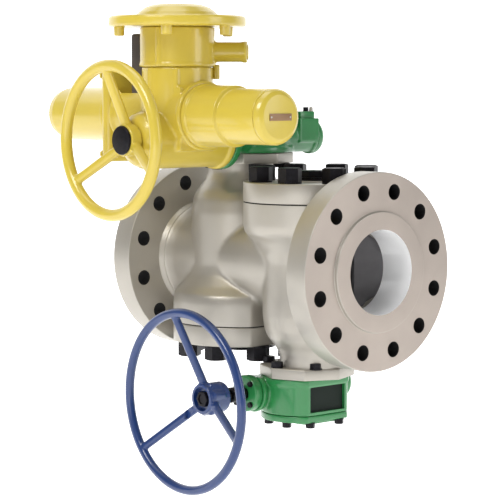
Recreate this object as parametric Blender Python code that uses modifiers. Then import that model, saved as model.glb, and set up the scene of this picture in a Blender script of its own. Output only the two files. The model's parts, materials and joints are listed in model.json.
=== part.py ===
"""Twin plug valve for a pipeline, with two worm gearboxes, a handwheel and an electric actuator.

The pipe runs along X through two quarter-turn plugs. The left plug is driven from above by the
actuator and the right plug from below by the handwheel. Both halves are the same design, one
turned half a turn about Y, so they are built from one "station" whose own +Z points at the gearbox.
Metres, +Z up. Origin: on the pipe's axis, midway between the two flange faces.
"""
import math

import bmesh
import bpy
from mathutils import Matrix, Vector

# --- driving sizes, metres ---------------------------------------------------------------
GAP = 0.0003                # between pieces that touch

FACE_TO_FACE = 0.559        # raised face to raised face
BORE_R = 0.0762
FLANGE_R = 0.1778
FLANGE_THICK = 0.0477
RAISED_FACE_R = 0.10795
RAISED_FACE_H = 0.007
BOLT_CIRCLE_R = 0.14605
BOLT_HOLE_R = 0.0143
BOLT_HOLES = 12
PIPE_NECK_R = 0.106
PIPE_R = 0.092
LINK_R = 0.088              # pipe between the two plugs

PLUG_SPACING = 0.206
PLUG_HALF_H = 0.095
PLUG_BIG_R = 0.079
PLUG_SMALL_R = 0.069
PORT_HALF_W = 0.032
PORT_HALF_H = 0.070

BARREL_R = 0.094
CHAMBER_R = 0.130
JOINT_Z = 0.117             # cover joint, from the pipe's axis
COVER_THICK = 0.036
COVER_FLAT = 0.111          # flat side facing the other plug, from the plug's axis
FLANGE_CLEARANCE = 0.003    # from a cover's outer flat to the flange behind it
SPIGOT_R = 0.083
SPIGOT_H = 0.016
GASKET_THICK = 0.002
COVER_BOLTS = 8
COVER_BOLT_CIRCLE_R = 0.103
COVER_BOLT_R = 0.011
COVER_BOLT_AF = 0.038       # across flats
COVER_BOLT_HEAD = 0.028
COVER_BOLT_GRIP = 0.028     # thread in the body
ADJUSTER_R = 0.016
ADJUSTER_AF = 0.050
ADJUSTER_HEAD = 0.020

NECK_R = 0.062
PLATE_Z = 0.184
PLATE_THICK = 0.020
PLATE_R = 0.088
PLATE_OFFSET = 0.018        # towards the worm
STEM_R = 0.025
STEM_DRIVE_R = 0.019
PACKING_R = 0.038
PACKING_H = 0.034

GEARBOX_R = 0.081
GEARBOX_OFFSET = 0.026      # middle of its round side, towards the worm
GEARBOX_H = 0.067
GEARBOX_FLAT = 0.039
GEARBOX_FLOOR = 0.009
GEARBOX_CAVITY_R = 0.050
GEARBOX_WALL = 0.0065
GEARBOX_LID = 0.012
LID_BOSS_R = 0.036
LID_BOSS_H = 0.006
WORM_Z = 0.233
WORM_OFFSET = 0.063
WORM_HOUSING_R = 0.034
WORM_FRONT = 0.097          # towards -Y
WORM_BACK = 0.113           # towards +Y
WORM_CORE_R = 0.0175
WORM_THREAD = 0.0022
WORM_JOURNAL_R = 0.012
WORM_GAP = 0.0005           # thread to tooth root
WORM_TURNS = 4
WHEEL_TEETH = 40
WHEEL_THICK = 0.016
WHEEL_HUB_SHOULDER = 0.0005  # seats the wheel on the housing floor round the stem
WHEEL_HUB_R = STEM_R + WHEEL_HUB_SHOULDER
SECTOR_HALF = 55            # degrees
END_CAP_THICK = 0.016
INPUT_CAP_THICK = 0.018
INPUT_FLANGE_R = 0.057
INPUT_FLANGE_THICK = 0.013

SHAFT_R = 0.009
HANDWHEEL_R = 0.159         # middle of the rim
HANDWHEEL_TUBE_R = 0.0084
HANDWHEEL_RIM_Y = -0.257
HANDWHEEL_HUB_Y = (-0.217, -0.169)
HANDWHEEL_HUB_R = 0.030
HUB_RECESS_R = 0.0225
HUB_NUT_R = 0.016
HUB_RECESS_DEPTH = 0.009
COLLAR_R = 0.014
COLLAR_Y = (-0.150, -0.118)

ACTUATOR_FRONT = -0.306
DRIVE_HOUSING_R = 0.053
SLEEVE_R = 0.021
SLEEVE_JOURNAL_R = 0.012
ACT_WHEEL_R = 0.132
ACT_TUBE_R = 0.0108
ACT_RIM_Y = -0.358
ACT_HUB_Y = (-0.330, -0.3073)
ACT_HUB_R = 0.028
HUB_CAP_R = 0.0265
HUB_CAP_THICK = 0.0057
SPOKE_SETBACK = 0.0045      # from a hub's front face to the front of its spokes
HANDWHEEL_SPOKE_R = 0.0075
HANDWHEEL_FIRST_SPOKE = 100 # degrees
ACT_FIRST_SPOKE = 96
ACT_SPOKE_R = 0.0085
MOTOR_Y = -0.205
MOTOR_LIFT = 0.043          # motor axis above the drive axis
MOTOR_CORE_R = 0.014
MOTOR_TEETH = 20
ACT_GEAR_THICK = 0.010
MOTOR_R = 0.0484
MOTOR_COLLAR_R = 0.055
MOTOR_WALL = 0.006
CASE_R = 0.058
CASE_X = (-0.1697, 0.040)
COLLAR_END = 0.125
MOTOR_END = 0.222
CAP_THICK = 0.018
DRUM_PLATE_THICK = 0.027
DRUM_PLATE_HALF = (0.060, 0.087)
DRUM_R = 0.050
DRUM_NOSE_R = 0.026
DRUM_NOSE = 0.035           # length of its tapered end
DRUM_WALL = 0.006
DRUM_END = -0.400
KNOB_R = 0.0205
KNOB_THICK = 0.008
COLUMN_R = 0.065
COLUMN_TOP_R = 0.068
COLUMN_SPLIT_Z = 0.363
COLUMN_TOP_Z = 0.435
LID_R = 0.124
LID_THICK = 0.019
DOME_R = 0.069
DOME_H = 0.0207             # above the lid
PANEL_X = (-0.127, -0.089)
PANEL_HALF_W = 0.040
PANEL_Z = (0.312, 0.424)
CONDUIT_R = 0.0185
CONDUIT_REACH = 0.127
CONDUIT_Z = 0.390
NAMEPLATE = (0.001, 0.050, 0.012)

ROUND = 24                  # sides of a large round piece
SMALL = 16                  # sides of a small one

# --- worked-out places -------------------------------------------------------------------
PLUG_X = PLUG_SPACING / 2
FACE_X = FACE_TO_FACE / 2
FLANGE_BACK = FACE_X - RAISED_FACE_H - FLANGE_THICK
DRIVE_X = -PLUG_X + WORM_OFFSET
MOTOR_Z = WORM_Z + MOTOR_LIFT
GEARBOX_BASE = PLATE_Z + PLATE_THICK + GAP
GEARBOX_TOP = GEARBOX_BASE + GEARBOX_H
COVER_FACE = -(JOINT_Z + GASKET_THICK + 2 * GAP)
COVER_BACK = COVER_FACE - COVER_THICK
WORM_BORE_R = WORM_CORE_R + WORM_THREAD + 0.0018
STATIONS = (("left", "upper", -PLUG_X, 0.0), ("right", "lower", PLUG_X, math.pi))
WORLD_AXES = {
    "X": Matrix.Rotation(math.pi / 2, 4, "Y"),
    "Y": Matrix.Rotation(-math.pi / 2, 4, "X"),
    "Z": Matrix.Identity(4),
}


# --- finishes ----------------------------------------------------------------------------
def finish(name, colour, metallic, roughness):
    material = bpy.data.materials.new(name)
    material.use_nodes = True
    shader = material.node_tree.nodes["Principled BSDF"]
    shader.inputs["Base Color"].default_value = (*colour, 1)
    shader.inputs["Metallic"].default_value = metallic
    shader.inputs["Roughness"].default_value = roughness
    return material


def start_scene():
    for old in list(bpy.data.objects):
        bpy.data.objects.remove(old)
    groups = {}
    for name in ("plug_valve", "cutters"):
        groups[name] = bpy.data.collections.new(name)
        bpy.context.scene.collection.children.link(groups[name])
    return groups


GROUPS = start_scene()
CAST_STEEL = finish("cast_steel", (0.50, 0.47, 0.43), 0.6, 0.42)
MACHINED = finish("machined_steel", (0.55, 0.53, 0.50), 0.9, 0.30)
BLACK_OXIDE = finish("black_oxide", (0.02, 0.02, 0.025), 0.5, 0.45)
GREEN_PAINT = finish("green_paint", (0.05, 0.25, 0.09), 0.0, 0.35)
BLUE_PAINT = finish("blue_paint", (0.05, 0.12, 0.32), 0.0, 0.35)
YELLOW_PAINT = finish("yellow_paint", (0.80, 0.57, 0.08), 0.0, 0.35)
DARK_PLASTIC = finish("dark_plastic", (0.09, 0.075, 0.06), 0.0, 0.5)
BROWN_PLASTIC = finish("brown_plastic", (0.37, 0.12, 0.05), 0.0, 0.5)
GRAPHITE = finish("graphite", (0.04, 0.04, 0.04), 0.0, 0.8)
BRONZE = finish("bronze", (0.55, 0.33, 0.12), 1.0, 0.35)


# --- solids ------------------------------------------------------------------------------
def place(obj, matrix=None, parent=None):
    obj.parent = parent
    obj.matrix_local = matrix or Matrix.Identity(4)
    return obj


def add(name, mesh, material, matrix=None, parent=None):
    """Add a piece of the valve, or a hidden helper solid where it has no finish."""
    obj = bpy.data.objects.new(name, mesh)
    group = "plug_valve" if material else "cutters"
    GROUPS[group].objects.link(obj)
    if material:
        mesh.materials.append(material)
    else:
        obj.hide_render = True
        obj.display_type = "WIRE"
    return place(obj, matrix, parent)


def solid(name, build, material=None, matrix=None, parent=None):
    """A solid whose mesh is made by build(bm)."""
    mesh = bpy.data.meshes.new(name)
    bm = bmesh.new()
    build(bm)
    bmesh.ops.recalc_face_normals(bm, faces=bm.faces)
    bm.to_mesh(mesh)
    bm.free()
    mesh.shade_smooth()
    mesh.set_sharp_from_angle(angle=math.radians(35))
    return add(name, mesh, material, matrix, parent)


def turned(name, outline, axis="Z", centre=(0, 0, 0), material=None, parent=None, sides=ROUND):
    """Turn an outline of (radius, height) about an axis. It runs down its outer side."""
    mesh = bpy.data.meshes.new(name)
    bm = bmesh.new()
    points = [bm.verts.new((r, 0, h)) for r, h in outline]
    for a, b in zip(points, points[1:]):
        bm.edges.new((a, b))
    if outline[0][0] > 0:
        bm.edges.new((points[-1], points[0]))
    bm.to_mesh(mesh)
    bm.free()
    obj = add(name, mesh, material, Matrix.Translation(centre) @ WORLD_AXES[axis], parent)
    screw = obj.modifiers.new("turn", "SCREW")
    screw.steps = sides
    screw.render_steps = sides
    screw.use_merge_vertices = True
    screw.merge_threshold = 0.00001
    screw.use_smooth_shade = False
    return obj


def clear_of(radius, sides=ROUND):
    """Corner radius of a faceted bore whose flats clear a piece that turns in it."""
    return (radius + GAP) / math.cos(math.pi / sides)


def rod_outline(radius, low, high):
    return [(0, high), (radius, high), (radius, low), (0, low)]


def ring_outline(inner, outer, low, high):
    return [(outer, high), (outer, low), (inner, low), (inner, high)]


def box(name, low, high, material=None, parent=None):
    low, high = Vector(low), Vector(high)
    size = Matrix.Diagonal((*(high - low), 1))
    middle = Matrix.Translation((low + high) / 2)
    grow = lambda bm: bmesh.ops.create_cube(bm, size=1, matrix=middle @ size)
    return solid(name, grow, material, None, parent)


def cone_at(bm, low, high, r_low, r_high, sides):
    """Add one round bar between two points."""
    low, high = Vector(low), Vector(high)
    along = high - low
    turn = along.to_track_quat("Z", "Y").to_matrix().to_4x4()
    where = Matrix.Translation((low + high) / 2) @ turn
    bmesh.ops.create_cone(
        bm, cap_ends=True, segments=sides, radius1=r_low, radius2=r_high, depth=along.length, matrix=where
    )


def bars(name, ends, radius, material=None, parent=None, sides=12):
    def build(bm):
        for low, high in ends:
            cone_at(bm, low, high, radius, radius, sides)

    return solid(name, build, material, None, parent)


def slab(name, outline, low, high, material=None, parent=None):
    """A flat outline of (x, y) points made into a slab from low to high."""
    def build(bm):
        face = bm.faces.new([bm.verts.new((x, y, low)) for x, y in outline])
        top = bmesh.ops.extrude_face_region(bm, geom=[face])
        moved = [v for v in top["geom"] if isinstance(v, bmesh.types.BMVert)]
        bmesh.ops.translate(bm, verts=moved, vec=(0, 0, high - low))

    return solid(name, build, material, None, parent)


def combine(target, other, operation):
    boolean = target.modifiers.new(other.name, "BOOLEAN")
    boolean.operation = operation
    boolean.object = other


def unite(target, *others):
    for other in others:
        combine(target, other, "UNION")


def cut(target, *others):
    for other in others:
        combine(target, other, "DIFFERENCE")


def circle_points(radius, count, centre=(0, 0), start=0.0, sweep=2 * math.pi, closed=True):
    steps = count if closed else count - 1
    return [
        (
            centre[0] + radius * math.cos(start + sweep * i / steps),
            centre[1] + radius * math.sin(start + sweep * i / steps),
        )
        for i in range(count)
    ]


def flat_sided(radius, flat, facing=1):
    """A circle cut off by one flat, at x = facing * flat."""
    half = math.acos(flat / radius)
    start = half if facing > 0 else half - math.pi
    return circle_points(radius, 28, start=start, sweep=2 * (math.pi - half), closed=False)


def bolt_circle(radius, count, offset=0.5):
    step = 2 * math.pi / count
    angles = [(k + offset) * step for k in range(count)]
    return [(radius * math.cos(angle), radius * math.sin(angle)) for angle in angles]


# --- flow passage ------------------------------------------------------------------------
def passage_section(blend, count=20):
    """Round at blend 0, and the plugs' tall port at blend 1."""
    power = 2 + 6 * blend
    half_w = BORE_R + (PORT_HALF_W - BORE_R) * blend
    half_h = BORE_R + (PORT_HALF_H - BORE_R) * blend
    points = []
    for i in range(count):
        angle = 2 * math.pi * (i + 0.5) / count
        c, s = math.cos(angle), math.sin(angle)
        y = math.copysign(abs(c) ** (2 / power), c) * half_w
        z = math.copysign(abs(s) ** (2 / power), s) * half_h
        points.append((y, z))
    return points


def flow_passage():
    """One lofted cutter for the body and both plugs, so their ports always line up."""
    port_x = PLUG_X + (PLUG_BIG_R + PLUG_SMALL_R) / 2
    round_x = port_x + 0.030
    past = FACE_X + 0.005
    stations = [(past, 0), (round_x, 0), (port_x + 0.014, 0.5), (port_x, 1)]
    stations = [(-x, b) for x, b in stations] + [(x, b) for x, b in reversed(stations)]

    def build(bm):
        rings = [[bm.verts.new((x, y, z)) for y, z in passage_section(b)] for x, b in stations]
        for a, b in zip(rings, rings[1:]):
            for i in range(len(a)):
                j = (i + 1) % len(a)
                bm.faces.new((a[i], a[j], b[j], b[i]))
        bm.faces.new(rings[0])
        bm.faces.new(list(reversed(rings[-1])))

    return solid("flow_passage", build)


# --- valve body --------------------------------------------------------------------------
def pipe_outline():
    face, back = FACE_X, FLANGE_BACK
    half = [
        (RAISED_FACE_R, face),
        (RAISED_FACE_R, face - RAISED_FACE_H),
        (FLANGE_R, face - RAISED_FACE_H),
        (FLANGE_R, back),
        (PIPE_NECK_R, back),
        (PIPE_NECK_R - 0.008, back - 0.010),
        (PIPE_R, back - 0.028),
        (LINK_R, PLUG_X),
    ]
    return [(0, face)] + half + [(r, -x) for r, x in reversed(half)] + [(0, -face)]


def chamber_outline():
    return [
        (0, PLATE_Z + 0.008),
        (NECK_R, PLATE_Z + 0.008),
        (NECK_R, 0.166),
        (NECK_R + 0.007, 0.150),
        (0.084, 0.132),
        (BARREL_R - 0.003, 0.116),
        (BARREL_R, 0.090),
        (BARREL_R, -0.012),
        (BARREL_R + 0.004, -0.027),
        (0.112, -0.050),
        (CHAMBER_R - 0.004, -0.062),
        (CHAMBER_R, -0.075),
        (CHAMBER_R, -JOINT_Z),
        (0, -JOINT_Z),
    ]


def mount_plate(parent, name):
    outline = circle_points(PLATE_R, 8, centre=(PLATE_OFFSET, 0))
    return slab(name, outline, PLATE_Z, PLATE_Z + PLATE_THICK, None, parent)


def seat_outline():
    """The plug's tapered seat, the stem's bore and the packing box, cut in one turned shape."""
    top = PLATE_Z + PLATE_THICK
    return [
        (0, top + 0.001),
        (PACKING_R + GAP, top + 0.001),
        (PACKING_R + GAP, top - PACKING_H - 0.020),
        (clear_of(STEM_R), top - PACKING_H - 0.020),
        (clear_of(STEM_R), PLUG_HALF_H + 0.004),
        (clear_of(PLUG_SMALL_R), PLUG_HALF_H + 0.004),
        (clear_of(PLUG_SMALL_R), PLUG_HALF_H),
        (clear_of(PLUG_BIG_R), -PLUG_HALF_H),
        (SPIGOT_R + GAP, -PLUG_HALF_H - 0.002),
        (SPIGOT_R + GAP, -JOINT_Z - 0.001),
        (0, -JOINT_Z - 0.001),
    ]


def flange_holes():
    ends = []
    for sign in (-1, 1):
        near, far = sign * (FACE_X + 0.001), sign * (FLANGE_BACK - 0.001)
        for y, z in bolt_circle(BOLT_CIRCLE_R, BOLT_HOLES):
            ends.append(((near, y, z), (far, y, z)))
    return bars("flange_holes", ends, BOLT_HOLE_R, sides=8)


def cover_holes(name, low, high, radius, parent):
    ends = [((x, y, low), (x, y, high)) for x, y in bolt_circle(COVER_BOLT_CIRCLE_R, COVER_BOLTS)]
    return bars(name, ends, radius, None, parent, sides=8)


def cover_relief(name, low, high, parent):
    """What the flat side takes off the cover, its gasket and the body's joint flange."""
    return box(name, (COVER_FLAT, -CHAMBER_R, low), (CHAMBER_R + 0.01, CHAMBER_R, high), None, parent)


def outer_relief(name, low, high, parent):
    """The flat that keeps the cover and its gasket clear of the pipe flange."""
    flat = FLANGE_BACK - PLUG_X - FLANGE_CLEARANCE
    return box(name, (-CHAMBER_R - 0.01, -CHAMBER_R, low), (-flat, CHAMBER_R, high), None, parent)


def valve_body(stations, passage):
    body = turned("valve_body", pipe_outline(), "X", material=CAST_STEEL)
    for side, empty in stations.items():
        chamber = turned(f"{side}_chamber", chamber_outline(), parent=empty)
        cut(chamber, cover_relief(f"{side}_body_relief", -JOINT_Z - 0.001, -0.060, empty))
        unite(body, chamber, mount_plate(empty, f"{side}_mount_plate"))
    cut(body, flange_holes())
    for side, empty in stations.items():
        low, high = -JOINT_Z - 0.001, -JOINT_Z + COVER_BOLT_GRIP + 0.002
        cut(body, cover_holes(f"{side}_tapped_holes", low, high, COVER_BOLT_R + GAP, empty))
    seats = [turned(f"{side}_seat", seat_outline(), parent=empty) for side, empty in stations.items()]
    unite(seats[0], seats[1], passage)
    cut(body, seats[0])
    return body


# --- what each station holds -------------------------------------------------------------
def plug(side, empty, passage):
    top = GEARBOX_BASE + 0.058
    outline = [
        (0, top),
        (STEM_DRIVE_R, top),
        (STEM_DRIVE_R, GEARBOX_BASE + GEARBOX_FLOOR),
        (STEM_R, GEARBOX_BASE + GEARBOX_FLOOR - 0.002),
        (STEM_R, PLUG_HALF_H),
        (PLUG_SMALL_R, PLUG_HALF_H),
        (PLUG_BIG_R, -PLUG_HALF_H),
        (0, -PLUG_HALF_H),
    ]
    piece = turned(f"{side}_plug", outline, material=MACHINED, parent=empty)
    cut(piece, passage)
    return piece


def stem_packing(side, empty):
    top = PLATE_Z + PLATE_THICK
    outline = ring_outline(clear_of(STEM_R), PACKING_R, top - PACKING_H - 0.019, top - 0.001)
    return turned(f"{side}_stem_packing", outline, material=GRAPHITE, parent=empty)


def cover(side, empty):
    spigot = COVER_FACE + SPIGOT_H
    outline = [
        (0, spigot),
        (SPIGOT_R - 0.006, spigot),
        (SPIGOT_R - 0.006, COVER_FACE),
        (CHAMBER_R, COVER_FACE),
        (CHAMBER_R, COVER_BACK),
        (0, COVER_BACK),
    ]
    piece = turned(f"{side}_cover", outline, material=CAST_STEEL, parent=empty)
    cut(
        piece,
        cover_relief(f"{side}_cover_relief", COVER_BACK - 0.001, COVER_FACE + 0.001, empty),
        outer_relief(f"{side}_cover_outer_relief", COVER_BACK - 0.001, COVER_FACE + 0.001, empty),
        cover_holes(f"{side}_cover_holes", COVER_BACK - 0.001, COVER_FACE + 0.001, COVER_BOLT_R + GAP, empty),
        turned(f"{side}_adjuster_hole", rod_outline(ADJUSTER_R + GAP, COVER_BACK - 0.001, spigot + 0.001),
               parent=empty, sides=SMALL),
    )
    return piece


def cover_gasket(side, empty):
    low = -JOINT_Z - GAP - GASKET_THICK
    outline = ring_outline(SPIGOT_R + GAP, CHAMBER_R - 0.0015, low, -JOINT_Z - GAP)
    piece = turned(f"{side}_cover_gasket", outline, material=GRAPHITE, parent=empty)
    cut(
        piece,
        cover_relief(f"{side}_gasket_relief", low - 0.001, -JOINT_Z, empty),
        outer_relief(f"{side}_gasket_outer_relief", low - 0.001, -JOINT_Z, empty),
        cover_holes(f"{side}_gasket_holes", low - 0.001, -JOINT_Z, COVER_BOLT_R + GAP, empty),
    )
    return piece


def hex_bolt(name, x, y, seat, reach, shank_r, across, head, empty):
    """A hexagon bolt whose head sits on the plane z = seat and whose shank runs up."""
    def build(bm):
        cone_at(bm, (x, y, seat - head), (x, y, seat), across / math.sqrt(3), across / math.sqrt(3), 6)

    piece = solid(name, build, BLACK_OXIDE, None, empty)
    shank = turned(f"{name}_shank", rod_outline(shank_r, seat - head / 2, seat + reach), centre=(x, y, 0),
                   parent=empty, sides=8)
    unite(piece, shank)
    return piece


def cover_fasteners(side, empty):
    seat = COVER_BACK - GAP
    reach = COVER_THICK + GASKET_THICK + COVER_BOLT_GRIP
    for number, (x, y) in enumerate(bolt_circle(COVER_BOLT_CIRCLE_R, COVER_BOLTS), 1):
        name = f"{side}_cover_bolt_{number}"
        hex_bolt(name, x, y, seat, reach, COVER_BOLT_R, COVER_BOLT_AF, COVER_BOLT_HEAD, empty)
    thrust = -PLUG_HALF_H - GAP - seat
    hex_bolt(f"{side}_plug_adjuster", 0, 0, seat, thrust, ADJUSTER_R, ADJUSTER_AF, ADJUSTER_HEAD, empty)


# --- gearboxes ---------------------------------------------------------------------------
def gearbox_outline():
    outline = flat_sided(GEARBOX_R, GEARBOX_FLAT + GEARBOX_OFFSET, -1)
    return [(x + GEARBOX_OFFSET, y) for x, y in outline]


def gearbox_housing(level, empty):
    name = f"{level}_gearbox_housing"
    shell = slab(name, gearbox_outline(), GEARBOX_BASE, GEARBOX_TOP, GREEN_PAINT, empty)
    axis = (WORM_OFFSET, 0, WORM_Z)
    tube = turned(
        f"{level}_worm_tube", rod_outline(WORM_HOUSING_R, -WORM_FRONT, WORM_BACK), "Y", axis, None, empty, ROUND
    )
    unite(shell, tube)
    rim = box(f"{level}_base_trim", (-0.2, -0.2, GEARBOX_BASE - 0.05), (0.2, 0.2, GEARBOX_BASE), None, empty)
    inside = flat_sided(GEARBOX_CAVITY_R, GEARBOX_FLAT - GEARBOX_WALL, -1)
    floor = GEARBOX_BASE + GEARBOX_FLOOR
    cut(
        shell,
        rim,
        slab(f"{level}_wheel_room", inside, floor, GEARBOX_TOP + 0.001, None, empty),
        turned(
            f"{level}_worm_bore",
            rod_outline(WORM_BORE_R, -WORM_FRONT - 0.001, WORM_BACK + 0.001),
            "Y", axis, None, empty, sides=SMALL,
        ),
        turned(
            f"{level}_floor_bore",
            rod_outline(clear_of(STEM_R), GEARBOX_BASE - 0.001, floor + 0.001),
            parent=empty,
        ),
    )
    return shell


def gearbox_cover(level, empty):
    low = GEARBOX_TOP + GAP
    name = f"{level}_gearbox_cover"
    lid = slab(name, gearbox_outline(), low, low + GEARBOX_LID, GREEN_PAINT, empty)
    boss = rod_outline(LID_BOSS_R, low + 0.002, low + GEARBOX_LID + LID_BOSS_H)
    part_boss = turned(f"{level}_lid_boss", boss, parent=empty, sides=ROUND)
    cut(part_boss, box(f"{level}_boss_trim", (-0.1, -0.1, 0.2), (0.012 - GEARBOX_FLAT, 0.1, 0.4), None, empty))
    unite(lid, part_boss)
    return lid


def gear_pair(core, distance, teeth):
    """Tooth sizes shared by a worm and its wheel: outer radius, root radius, lead."""
    outer = distance - core - WORM_GAP
    root = outer - WORM_THREAD
    lead = 2 * math.pi * (outer + root) / 2 / teeth
    return outer, root, lead


def toothed_outline(core, distance, teeth, first, last):
    """Teeth first..last, counted from the point that faces the worm. A gap faces it at rest."""
    outer, root, lead = gear_pair(core, distance, teeth)
    tip = lead / 2 - WORM_THREAD - 0.0007
    base = tip + WORM_THREAD
    points = []
    for k in range(first, last + 1):
        middle = 2 * math.pi * (k + 0.5) / teeth
        for radius, side in ((root, -base), (outer, -tip), (outer, tip), (root, base)):
            angle = middle + side / radius
            points.append((radius * math.cos(angle), radius * math.sin(angle)))
    return points


def worm_wheel(level, empty):
    """A quadrant on the stem. At rest it is half way through its travel on one side of the worm."""
    step = 360 / WHEEL_TEETH
    first, last = round((-45 - SECTOR_HALF) / step), round((-45 + SECTOR_HALF) / step) - 1
    points = toothed_outline(WORM_CORE_R, WORM_OFFSET, WHEEL_TEETH, first, last)
    end = math.radians(last * step + step)
    begin = math.radians(first * step)
    hub_r = WHEEL_HUB_R - 0.004
    hub = [(hub_r * math.cos(a), hub_r * math.sin(a)) for a in (end, (end + begin) / 2 + math.pi, begin)]
    middle = WORM_Z
    name = f"{level}_worm_wheel"
    wheel = slab(name, points + hub, middle - WHEEL_THICK / 2, middle + WHEEL_THICK / 2, BRONZE, empty)
    floor = GEARBOX_BASE + GEARBOX_FLOOR
    unite(wheel, turned(f"{level}_wheel_hub", rod_outline(WHEEL_HUB_R, floor + GAP, GEARBOX_BASE + 0.056),
                        parent=empty, sides=SMALL))
    cut(wheel, turned(f"{level}_wheel_bore", rod_outline(STEM_DRIVE_R + GAP, 0.15, 0.35), parent=empty))
    return wheel


def helix(name, radius, lead, turns, centre, axis, facing, parent=None):
    """A thread ridge. It crosses the side at angle `facing` at whole leads from the centre."""
    curve = bpy.data.curves.new(name, "CURVE")
    curve.dimensions = "3D"
    curve.bevel_depth = WORM_THREAD
    curve.bevel_resolution = 0
    curve.use_fill_caps = True
    per_turn = 10
    count = turns * per_turn + 1
    spline = curve.splines.new("POLY")
    spline.points.add(count - 1)
    for i in range(count):
        turn = i / per_turn - turns / 2
        angle = facing + 2 * math.pi * turn
        along = lead * turn
        if axis == "Y":
            point = (radius * math.cos(angle), along, radius * math.sin(angle))
        else:
            point = (along, radius * math.cos(angle), radius * math.sin(angle))
        spline.points[i].co = (*(Vector(centre) + Vector(point)), 1)
    source = bpy.data.objects.new(f"{name}_path", curve)
    GROUPS["cutters"].objects.link(source)
    bpy.context.view_layer.update()
    mesh = bpy.data.meshes.new_from_object(source.evaluated_get(bpy.context.evaluated_depsgraph_get()))
    bpy.data.objects.remove(source)
    bm = bmesh.new()
    bm.from_mesh(mesh)
    bmesh.ops.remove_doubles(bm, verts=bm.verts, dist=0.00001)
    bmesh.ops.recalc_face_normals(bm, faces=bm.faces)
    bm.to_mesh(mesh)
    bm.free()
    return add(name, mesh, None, None, parent)


def worm_shaft(level, empty, reach):
    """The worm and its shaft, whose free end stands at y = reach."""
    lead = gear_pair(WORM_CORE_R, WORM_OFFSET, WHEEL_TEETH)[2]
    half = lead * (WORM_TURNS + 1.5) / 2
    back = WORM_BACK + END_CAP_THICK - 0.006
    outline = [
        (0, back),
        (WORM_JOURNAL_R, back),
        (WORM_JOURNAL_R, half),
        (WORM_CORE_R, half),
        (WORM_CORE_R, -half),
        (WORM_JOURNAL_R, -half),
        (WORM_JOURNAL_R, -WORM_FRONT + 0.012),
        (SHAFT_R, -WORM_FRONT + 0.011),
        (SHAFT_R, reach),
        (0, reach),
    ]
    centre = (WORM_OFFSET, 0, WORM_Z)
    shaft = turned(f"{level}_worm_shaft", outline, "Y", centre, MACHINED, empty, sides=SMALL)
    unite(shaft, helix(f"{level}_worm_thread", WORM_CORE_R, lead, WORM_TURNS, centre, "Y", math.pi, empty))
    return shaft


def worm_end_cap(level, empty):
    start = WORM_BACK + GAP
    end = start + END_CAP_THICK
    outline = [
        (0, end),
        (WORM_HOUSING_R - 0.008, end),
        (WORM_HOUSING_R - 0.002, end - 0.006),
        (WORM_HOUSING_R - 0.0005, start),
        (clear_of(WORM_JOURNAL_R), start),
        (clear_of(WORM_JOURNAL_R), end - 0.004),
        (0, end - 0.004),
    ]
    return turned(f"{level}_worm_end_cap", outline, "Y", (WORM_OFFSET, 0, WORM_Z), GREEN_PAINT, empty, sides=ROUND)


def front_plate(name, radius, thick, empty):
    """A disc with a shaft hole, closing the worm housing's input end."""
    back = -WORM_FRONT - GAP
    outline = ring_outline(clear_of(SHAFT_R), radius, back - thick, back)
    return turned(name, outline, "Y", (WORM_OFFSET, 0, WORM_Z), GREEN_PAINT, empty, sides=ROUND)


# --- handwheels --------------------------------------------------------------------------
def spoked_wheel(name, centre, rim_r, tube_r, rim_y, hub_r, hub_y, spoke_r, first_spoke, material):
    """A dished wheel with three spokes, turning about Y."""
    x, z = centre
    middle = hub_y[0] + SPOKE_SETBACK + spoke_r
    wheel = turned(name, rod_outline(hub_r, *hub_y), "Y", (x, 0, z), material, sides=SMALL)
    section = circle_points(tube_r, 8, centre=(rim_r, rim_y))
    section.reverse()
    rim = turned(f"{name}_rim", section, "Y", (x, 0, z))
    ends = []
    for angle in (0, 120, 240):
        a = math.radians(first_spoke + angle)
        inner, outer = hub_r * 0.6, rim_r - tube_r * 0.3
        ends.append(((x + inner * math.cos(a), middle, z + inner * math.sin(a)),
                     (x + outer * math.cos(a), rim_y, z + outer * math.sin(a))))
    unite(wheel, rim)
    for number, end in enumerate(ends, 1):
        unite(wheel, bars(f"{name}_spoke_{number}", [end], spoke_r, sides=10))
    return wheel


def handwheel():
    centre = (PLUG_X - WORM_OFFSET, -WORM_Z)
    wheel = spoked_wheel("handwheel", centre, HANDWHEEL_R, HANDWHEEL_TUBE_R, HANDWHEEL_RIM_Y, HANDWHEEL_HUB_R,
                         HANDWHEEL_HUB_Y, HANDWHEEL_SPOKE_R, HANDWHEEL_FIRST_SPOKE, BLUE_PAINT)
    axis = (centre[0], 0, centre[1])
    low, high = HANDWHEEL_HUB_Y
    recess = low + HUB_RECESS_DEPTH
    cut(
        wheel,
        turned("handwheel_bore", rod_outline(SHAFT_R + GAP, low - 0.001, high + 0.001), "Y", axis, sides=SMALL),
        turned("handwheel_recess", rod_outline(HUB_RECESS_R, low - 0.001, recess), "Y", axis, sides=SMALL),
    )
    nut = turned("handwheel_nut", rod_outline(HUB_NUT_R, low + 0.001, recess - GAP), "Y", axis,
                 BLACK_OXIDE, sides=6)
    bore = rod_outline(SHAFT_R + GAP, low - 0.002, recess + 0.001)
    cut(nut, turned("nut_bore", bore, "Y", axis, sides=SMALL))
    collar = ring_outline(SHAFT_R + GAP, COLLAR_R, *COLLAR_Y)
    turned("shaft_collar", collar, "Y", axis, BLACK_OXIDE, sides=SMALL)


# --- electric actuator -------------------------------------------------------------------
def drive_axis(y=0):
    return (DRIVE_X, y, WORM_Z)


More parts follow.
